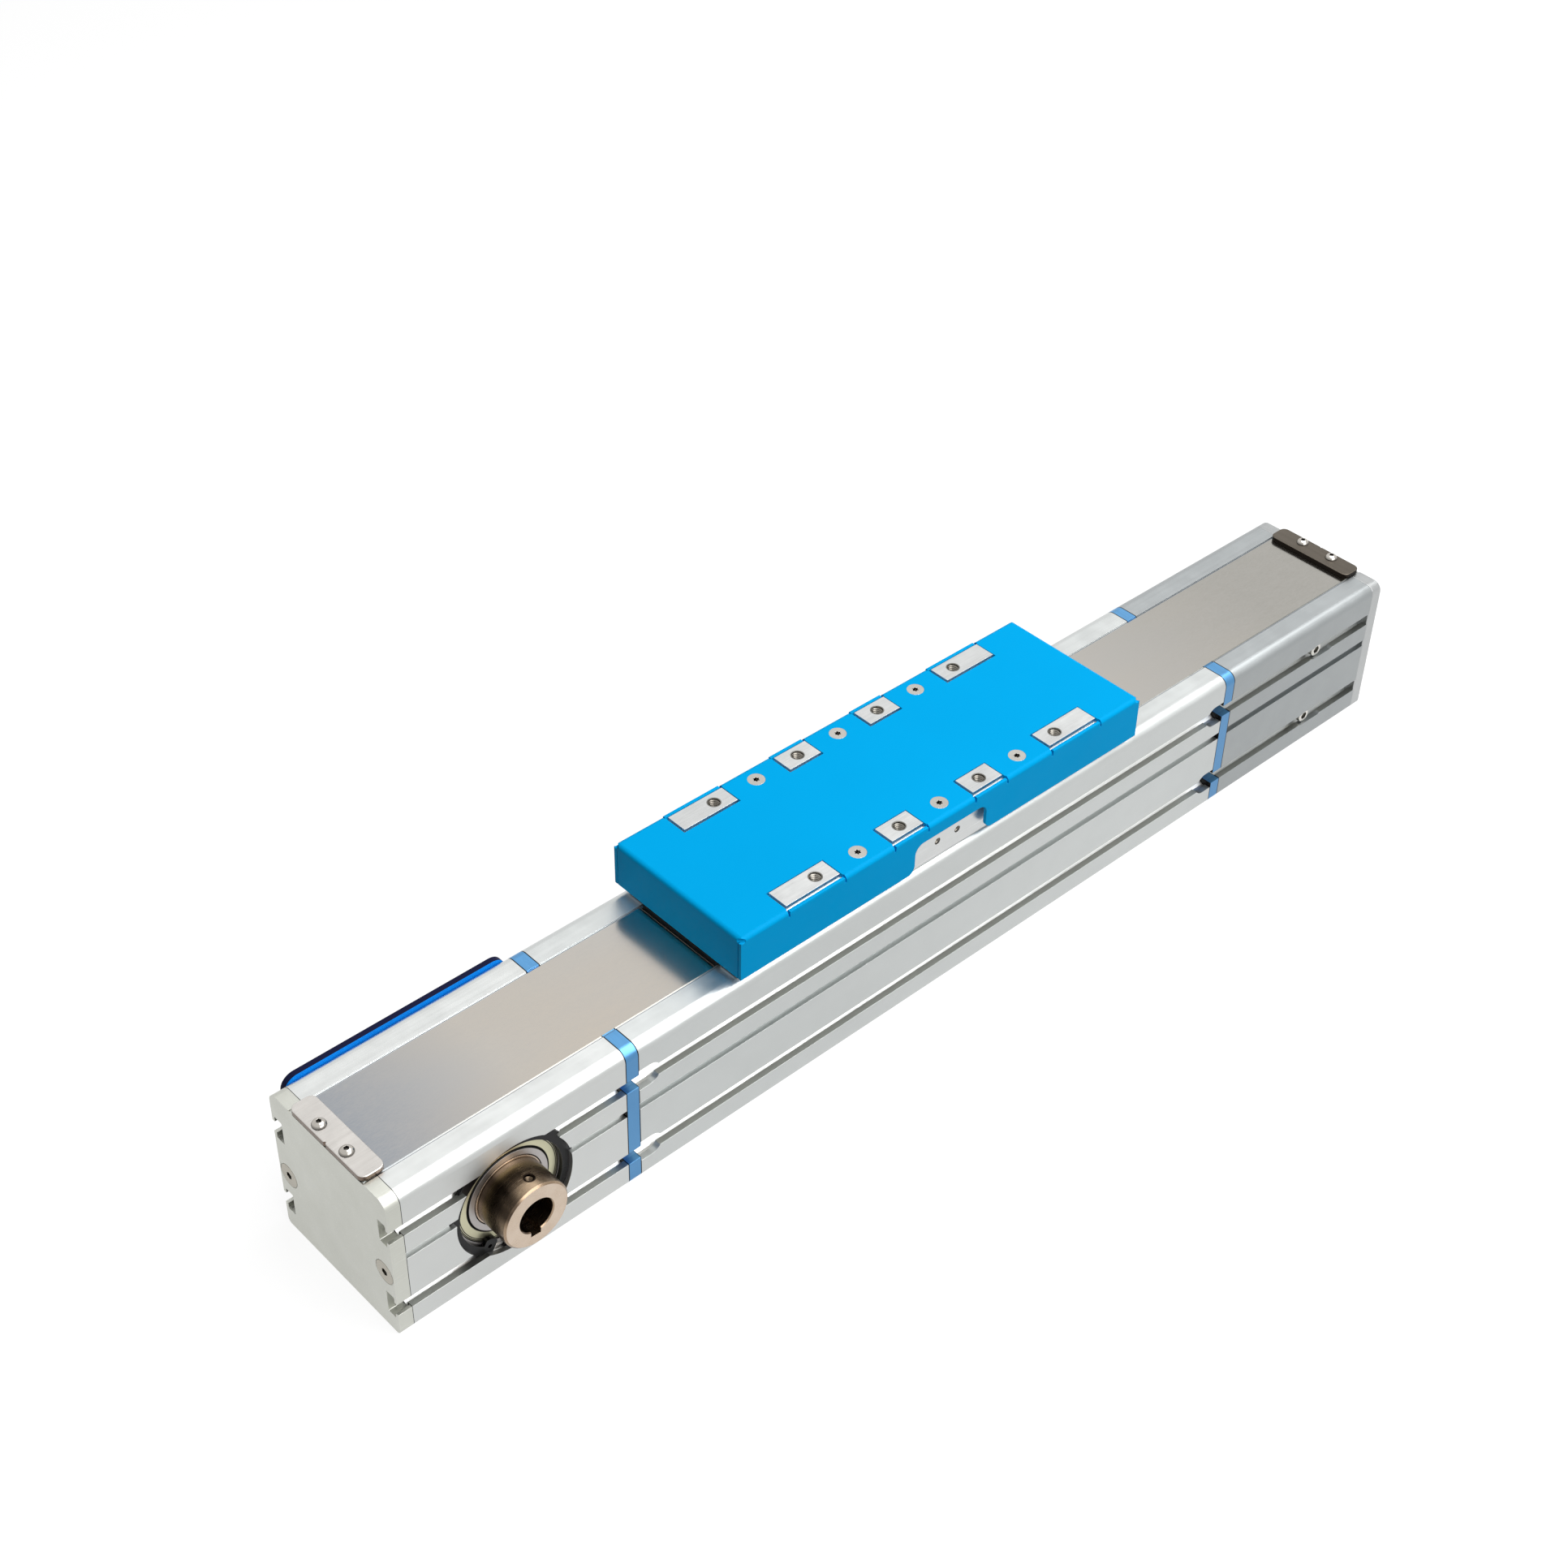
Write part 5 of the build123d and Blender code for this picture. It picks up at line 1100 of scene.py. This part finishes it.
def carved(blank: Shape, cutters: list[Shape]) -> Shape:
    """Cuts closed shapes out of a blank, one after the other.

    Args:
        blank: The solid to cut, which is freed.
        cutters: The shapes to take away, which are freed.

    Returns:
        The cut shape.
    """
    holders = [object_from("holder", shape) for shape in (blank, *cutters)]
    for cutter in holders[1:]:
        cut = holders[0].modifiers.new("cut", "BOOLEAN")
        cut.operation, cut.solver, cut.object = "DIFFERENCE", "EXACT", cutter
    bpy.context.view_layer.update()
    result = bmesh.new()
    result.from_object(holders[0], bpy.context.evaluated_depsgraph_get())
    for holder in holders:
        mesh = holder.data
        bpy.data.objects.remove(holder)
        bpy.data.meshes.remove(mesh)
    return result


@dataclass
class EndPlate:
    """Plate that closes a head: notched for the slots at the drive end, unbroken at the tail end."""

    side: Side
    outer: float = 0.375
    inner: float = 0.367
    half_width: float = 0.0475
    height: float = 0.0935
    top_radius: float = 0.006
    base_radius: float = 0.003
    corner_steps: int = 10
    seam_chamfer: float = 0.0006
    bed_half: float = 0.0306
    bed_floor: float = 0.0929
    notch_heights: Pair = (0.0186, 0.07)
    notch_lip: float = 0.002
    notch_depth: float = 0.0083
    notch_half: float = 0.0074
    notch_mouth: float = 0.004
    notch_radius: float = 0.0008
    notch_steps: int = 3
    screw_spot: Pair = (0.0398, 0.0399)
    tension_spot: Pair = (0.012, 0.0448)
    screw_radius: float = 0.00303
    bore_length: float = 0.012
    head_radius: float = 0.00673
    head_rim: float = 0.0004
    head_start: float = 0.00099
    ring: float = 0.00035
    clamp_spot: Pair = (0.3702, 0.01125)
    clamp_radius: float = 0.00203
    clamp_depth: float = 0.011
    clear: float = 0.001
    smooth_below: float = 0.35

    def reach(self, spare: float = 0.0) -> list[float]:
        """Where the plate starts and ends along X, with spare length at both ends."""
        return sorted((self.side.value * (self.inner - spare), self.side.value * (self.outer + spare)))

    def blank(self) -> Shape:
        """The rounded plate before anything is cut from it.

        Returns:
            The new shape.
        """
        start, end = self.reach()
        shape = box_shape((start, -self.half_width, 0.0), (end, self.half_width, self.height))
        for level, radius in ((self.height, self.top_radius), (0.0, self.base_radius)):
            edges = [edge for edge in shape.edges if lies_at(edge, 2, level) and along_x(edge)]
            round_edges(shape, edges, radius, self.corner_steps)
        if self.side is Side.TAIL:
            edges = [edge for edge in shape.edges if lies_at(edge, 0, self.side.value * self.inner)]
            round_edges(shape, edges, self.seam_chamfer, 1)
        return shape

    def sunk_hole(self, across: float, level: float) -> list[Shape]:
        """Cutters of one countersunk screw hole with the narrow ring sunk round its head.

        Args:
            across: Y of the screw.
            level: Z of the screw.

        Returns:
            The cutters, from the outer face inward.
        """
        turn = Matrix.Rotation(-self.side.value * math.pi / 2, 4, "Y")
        place = Matrix.Translation((self.side.value * (self.outer + self.clear), across, level)) @ turn
        wide = self.head_radius + self.ring
        sunk = place @ Matrix.Translation((0.0, 0.0, self.head_start + self.head_rim))
        return [cone_shape(place, self.clear + self.head_rim, wide, wide),
                cone_shape(sunk, self.head_radius - self.screw_radius, self.head_radius, self.screw_radius),
                cone_shape(place, self.bore_length, self.screw_radius, self.screw_radius)]

    def notch(self, side: int, level: float) -> list[Shape]:
        """Cutters of one T-shaped notch.

        Args:
            side: Which way along Y the notch opens.
            level: Z of its middle.

        Returns:
            The cavity and the mouth.
        """
        start, end = self.reach(self.clear)
        boxes = []
        for depth, lip, half in ((self.notch_depth, self.notch_lip, self.notch_half),
                                 (self.notch_lip + self.notch_radius, -self.clear, self.notch_mouth)):
            low, high = sorted((side * (self.half_width - depth), side * (self.half_width - lip)))
            boxes.append(box_shape((start, low, level - half), (end, high, level + half)))
        lengthwise = [edge for edge in boxes[0].edges if along_x(edge)]
        round_edges(boxes[0], lengthwise, self.notch_radius, self.notch_steps)
        return boxes

    def build(self, shop: FinishShop) -> bpy.types.Object:
        """Builds the plate in place of the plainer solid.

        Args:
            shop: The finishes.

        Returns:
            The new piece.
        """
        start, end = self.reach(self.clear)
        above = self.height + self.clear
        cutters = [box_shape((start, -self.bed_half, self.bed_floor), (end, self.bed_half, above))]
        for side in (-1, 1):
            cutters += self.sunk_hole(side * self.screw_spot[0], self.screw_spot[1])
            along, across = self.side.value * self.clamp_spot[0], side * self.clamp_spot[1]
            place = Matrix.Translation((along, across, self.height - self.clamp_depth))
            cutters.append(cone_shape(place, self.bore_length, self.clamp_radius, self.clamp_radius))
            if self.side is Side.TAIL:
                cutters += self.sunk_hole(side * self.tension_spot[0], self.tension_spot[1])
            else:
                for level in self.notch_heights:
                    cutters += self.notch(side, level)
        node = f"{self.side.name.lower()}_end_plate"
        piece = piece_from(f"{node}_shaped", carved(self.blank(), cutters), self.smooth_below)
        shop.dress(piece, "end_plate" if self.side is Side.DRIVE else "tail_plate")
        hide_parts(node)
        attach(piece, Body.BASE.value)
        return piece


@dataclass
class PadFlaps:
    """Upright edges of the cover's skirt beside the carriage pads, where the sheet has no bend."""

    centre_x: float = CARRIAGE_X
    pads: tuple[Pair, ...] = ((-0.1166, -0.0784), (-0.0418, -0.0182), (0.0182, 0.0418), (0.0784, 0.1166))
    inside: float = 0.04735
    outside: float = 0.04937
    low: float = 0.1222
    high: float = 0.1245
    edge_radius: float = 0.0003
    edge_steps: int = 2

    def build(self, shop: FinishShop) -> bpy.types.Object:
        """Builds the flaps of both sides as one piece.

        Args:
            shop: The finishes.

        Returns:
            The new piece.
        """
        shape = bmesh.new()
        for start, end in self.pads:
            for low, high in ((-self.outside, -self.inside), (self.inside, self.outside)):
                flap = box_shape((self.centre_x + start, low, self.low), (self.centre_x + end, high, self.high))
                top = [edge for edge in flap.edges if lies_at(edge, 2, self.high)]
                round_edges(flap, top, self.edge_radius, self.edge_steps)
                add_shape(shape, flap)
        piece = piece_from("pad_flaps", shape)
        shop.dress(piece, "flap_blue")
        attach(piece, Body.CARRIAGE.value)
        return piece


def follow_carriage(piece: bpy.types.Object, node: str, slot: str, side: Side, shop: FinishShop) -> None:
    """Dresses a piece, hides the node that it replaces and bakes the piece's transform.

    Args:
        piece: The piece.
        node: The node that it replaces.
        slot: Its finish and the record's slot.
        side: Not used.
        shop: The finishes.
    """
    shop.dress(piece, slot)
    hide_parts(node)
    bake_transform(piece)


@dataclass
class CoverStrip:
    """The steel strip on one side of the carriage; on the real axis it shortens as the carriage comes nearer.
    """

    side: Side
    cuts: int = 60

    def build(self, shop: FinishShop) -> bpy.types.Object:
        """Builds the strip, divided along its length, in the place of its node.

        Args:
            shop: The finishes.

        Returns:
            The new piece.
        """
        label = self.side.name.lower()
        node = f"strip_{label}_side"
        shape = box_shape(*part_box(node))
        lengthwise = [edge for edge in shape.edges if along_x(edge)]
        bmesh.ops.subdivide_edges(shape, edges=lengthwise, cuts=self.cuts, use_grid_fill=True)
        piece = piece_from(f"{label}_cover_strip", shape)
        follow_carriage(piece, node, "strip_steel", self.side, shop)
        return piece


@dataclass
class BeltRun:
    """The upper belt run on one side of the carriage; on the real axis it shortens as the carriage comes
    nearer.
    """

    side: Side
    weld: float = 0.00001

    def build(self, shop: FinishShop) -> bpy.types.Object:
        """Copies the toothed run in the place of its node.

        Args:
            shop: The finishes.

        Returns:
            The new piece.
        """
        label = self.side.name.lower()
        node = f"belt_{label}_run"
        shape = bmesh.new()
        shape.from_mesh(frame["nodes"][node].data)
        bmesh.ops.remove_doubles(shape, verts=shape.verts, dist=self.weld)
        piece = piece_from(f"{label}_belt_stretch", shape)
        follow_carriage(piece, node, "belt", self.side, shop)
        return piece


@dataclass
class TappedThread:
    """Internal threads that line the tapped holes of one pattern."""

    name: str
    slot: str
    body: Body
    radius: float
    pitch: float
    depth: float
    turns: int
    steps: int = 20
    mouth: float = 0.0006
    finish: str = "tapped_thread"

    def ridge(self, place: Matrix) -> Shape:
        """The helical ridge of one hole.

        Args:
            place: Turns +Z into the hole's inward axis and moves the origin to its mouth.

        Returns:
            The new shape.
        """
        wall, crest, step = self.radius, self.radius - self.depth, self.pitch / 2
        outline = ((wall, 0.0), (crest, step * 0.85), (crest, step * 1.15), (wall, 2 * step))
        shape = bmesh.new()
        deeper = Vector((0, 0, self.mouth))
        verts = [shape.verts.new(Vector((reach, 0.0, along)) + deeper) for reach, along in outline]
        face = shape.faces.new(verts)
        bmesh.ops.spin(shape, geom=[face, *face.edges, *verts], cent=(0, 0, 0), axis=(0, 0, 1),
                       dvec=(0, 0, self.pitch / self.steps), angle=2 * math.pi * self.turns,
                       steps=self.steps * self.turns, use_merge=False)
        bmesh.ops.transform(shape, matrix=place, verts=shape.verts)
        return shape

    def build(self, shop: FinishShop, places: list[Matrix]) -> bpy.types.Object:
        """Builds the threads of every hole as one piece.

        Args:
            shop: The finishes.
            places: Where each hole is.

        Returns:
            The new piece.
        """
        shape = bmesh.new()
        for place in places:
            add_shape(shape, self.ridge(place))
        piece = piece_from(self.name, shape)
        shop.dress(piece, self.finish)
        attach(piece, self.body.value)
        return piece


def inward(position: Vector, outward: Vector) -> Matrix:
    """A hole's own frame at its mouth, with +Z running into the metal."""
    return Matrix.Translation(position) @ (-outward).to_track_quat("Z", "Y").to_matrix().to_4x4()


@dataclass
class CarriageThreads:
    """Threads in the eight pad holes and the four side holes of the carriage."""

    pad_pitch: float = 0.00125
    pad_depth: float = 0.0005
    pad_turns: int = 9
    side_pitch: float = 0.0008
    side_depth: float = 0.0003
    side_turns: int = 8

    def places(self, name: str) -> list[Matrix]:
        """Where the holes of one bolt pattern are.

        Args:
            name: The mount's name.

        Returns:
            One matrix for each hole.
        """
        entry = mount(name)
        sizes, centre, axis = entry["dims"], Vector(entry["pos_m"]), Vector(entry["axis"])
        half_x, half_y = sizes["spacing_x_mm"] / 2000, sizes.get("spacing_y_mm", 0.0) / 2000
        ys = (-half_y, half_y) if half_y else (0.0,)
        return [inward(centre + Vector((x, y, 0)), axis) for x in (-half_x, half_x) for y in ys]

    def build(self, shop: FinishShop) -> list[bpy.types.Object]:
        """Builds both kinds of thread.

        Args:
            shop: The finishes.

        Returns:
            The new pieces.
        """
        made = []
        for name, mounts, pitch, depth, turns in (
                ("pad_hole_threads", ("carriage_holes_outer", "carriage_holes_inner"), self.pad_pitch,
                 self.pad_depth, self.pad_turns),
                ("side_hole_threads", ("side_holes_near", "side_holes_far"), self.side_pitch,
                 self.side_depth, self.side_turns)):
            radius = mount(mounts[0])["dims"]["hole_r_mm"] / 1000
            thread = TappedThread(name, "saddle_metal", Body.CARRIAGE, radius, pitch, depth, turns)
            made.append(thread.build(shop, [place for spot in mounts for place in self.places(spot)]))
        return made


@dataclass
class HubThread:
    """Thread of the set screw hole in the side of the hub."""

    axle: Triple = (-0.303, -0.0566, 0.0448)
    hub_radius: float = 0.0194
    turn: float = 6.5
    radius: float = 0.0025
    pitch: float = 0.001
    depth: float = 0.00045
    turns: int = 8
    mouth: float = 0.001

    def build(self, shop: FinishShop) -> bpy.types.Object:
        """Builds the thread.

        Args:
            shop: The finishes.

        Returns:
            The new piece.
        """
        angle = math.radians(self.turn)
        outward = Vector((math.sin(angle), 0.0, math.cos(angle)))
        spot = inward(Vector(self.axle) + outward * self.hub_radius, outward)
        thread = TappedThread("hub_hole_thread", "shaft_steel", Body.DRIVE_ROTOR, self.radius, self.pitch,
                              self.depth, self.turns, mouth=self.mouth, finish="hub_thread")
        return thread.build(shop, [spot])


# ---- studio ----
@dataclass(frozen=True)
class Lamp:
    """A soft rectangular lamp that faces its target."""

    name: str
    place: Triple
    target: Triple
    size: Pair
    power: float

    def build(self) -> None:
        """Puts the lamp in the scene."""
        light = bpy.data.lights.new(self.name, "AREA")
        light.shape = "RECTANGLE"
        light.size, light.size_y = self.size
        light.energy = self.power
        lamp = bpy.data.objects.new(self.name, light)
        bpy.context.scene.collection.objects.link(lamp)
        lamp.location = self.place
        lamp.rotation_mode = "QUATERNION"
        lamp.rotation_quaternion = (Vector(self.target) - Vector(self.place)).to_track_quat("-Z", "Y")


@dataclass
class Studio:
    """Plain pale floor, soft lamps and the camera."""

    floor_size: float = 24.0
    floor_drop: float = 0.0002
    floor_tone: float = 0.22
    floor_roughness: float = 0.9
    floor_lift: float = 0.88
    sky: float = 0.06
    lamps: tuple[Lamp, ...] = (
        Lamp("overhead_softbox", (0.6, -0.3, 2.1), (-0.1, 0.0, 0.0), (2.0, 2.0), 46.0),
        Lamp("front_softbox", (0.1, -2.0, 1.5), (-0.1, 0.0, 0.05), (2.4, 1.2), 31.0),
    )
    eye: Triple = (-0.7544, -0.7076, 0.9627)
    ahead: Triple = (0.54447, 0.56047, -0.62403)
    upward: Triple = (0.41156, 0.46975, 0.78100)
    lens: float = 56.48
    sensor: float = 36.0
    shift: Pair = (-0.01825, -0.0290)
    clip: Pair = (0.01, 100.0)

    def build_floor(self) -> None:
        """Builds the floor just under the axis."""
        shape = bmesh.new()
        bmesh.ops.create_grid(shape, x_segments=2, y_segments=2, size=self.floor_size / 2)
        bmesh.ops.translate(shape, vec=(0, 0, -self.floor_drop), verts=shape.verts)
        floor = object_from("studio_floor", shape)
        material = bpy.data.materials.new("pale_floor")
        material.use_nodes = True
        wiring = Wiring(material.node_tree)
        wiring.feed(material.node_tree.nodes["Principled BSDF"], {
            "Base Color": (self.floor_tone,) * 3 + (1.0,), "Roughness": self.floor_roughness,
            "Specular IOR Level": 0.0, "Emission Color": WHITE,
            "Emission Strength": wiring.times(self.seen(wiring), self.floor_lift)})
        floor.data.materials.append(material)

    def seen(self, wiring: Wiring) -> Socket:
        """Tells what the camera sees from the light that falls on the pieces.

        Args:
            wiring: The wiring of the floor or the world.

        Returns:
            1 for what is seen straight, in a reflection or through glass, and 0 for other light.
        """
        rays = wiring.add("ShaderNodeLightPath")
        direct = wiring.math("MAXIMUM", rays.outputs["Is Camera Ray"], rays.outputs["Is Glossy Ray"])
        return wiring.math("MAXIMUM", direct, rays.outputs["Is Transmission Ray"])

    def build_world(self) -> None:
        """Gives the world a white backdrop and a soft even sky."""
        world = bpy.data.worlds.new("studio_world")
        bpy.context.scene.world = world
        world.use_nodes = True
        wiring = Wiring(world.node_tree)
        strength = wiring.span(self.seen(wiring), 0.0, 1.0, self.sky, 1.0)
        wiring.feed(world.node_tree.nodes["Background"], {"Color": WHITE, "Strength": strength})

    def build_camera(self) -> None:
        """Sets up the camera."""
        data = bpy.data.cameras.new("studio_camera")
        data.sensor_width, data.lens = self.sensor, self.lens
        data.shift_x, data.shift_y = self.shift
        data.clip_start, data.clip_end = self.clip
        camera = bpy.data.objects.new("studio_camera", data)
        bpy.context.scene.collection.objects.link(camera)
        back = -Vector(self.ahead).normalized()
        up = (Vector(self.upward) - Vector(self.upward).dot(back) * back).normalized()
        turn = Matrix((up.cross(back), up, back)).transposed().to_4x4()
        camera.matrix_world = Matrix.Translation(Vector(self.eye)) @ turn
        bpy.context.scene.camera = camera

    def build(self) -> None:
        """Builds floor, world, lamps and camera, and sets the plain view."""
        self.build_floor()
        self.build_world()
        for lamp in self.lamps:
            lamp.build()
        bpy.context.scene.view_settings.view_transform = "Standard"
        self.build_camera()


def main() -> None:
    """Builds every piece in order and reports each."""
    logging.basicConfig(level=logging.INFO, format="%(message)s")
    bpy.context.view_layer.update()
    Studio().build()
    shop = FinishShop()
    LOG.info("dressed %d nodes", shop.dress_nodes())
    made = [maker(side).build(shop) for maker in (EndPlate, CoverStrip, BeltRun) for side in Side]
    made += CarriageThreads().build(shop) + [HubThread().build(shop), PadFlaps().build(shop)]
    for piece in made:
        LOG.info("%s: %d faces", piece.name, len(piece.data.polygons))
    bpy.context.view_layer.update()


if __name__ == "__main__":
    main()
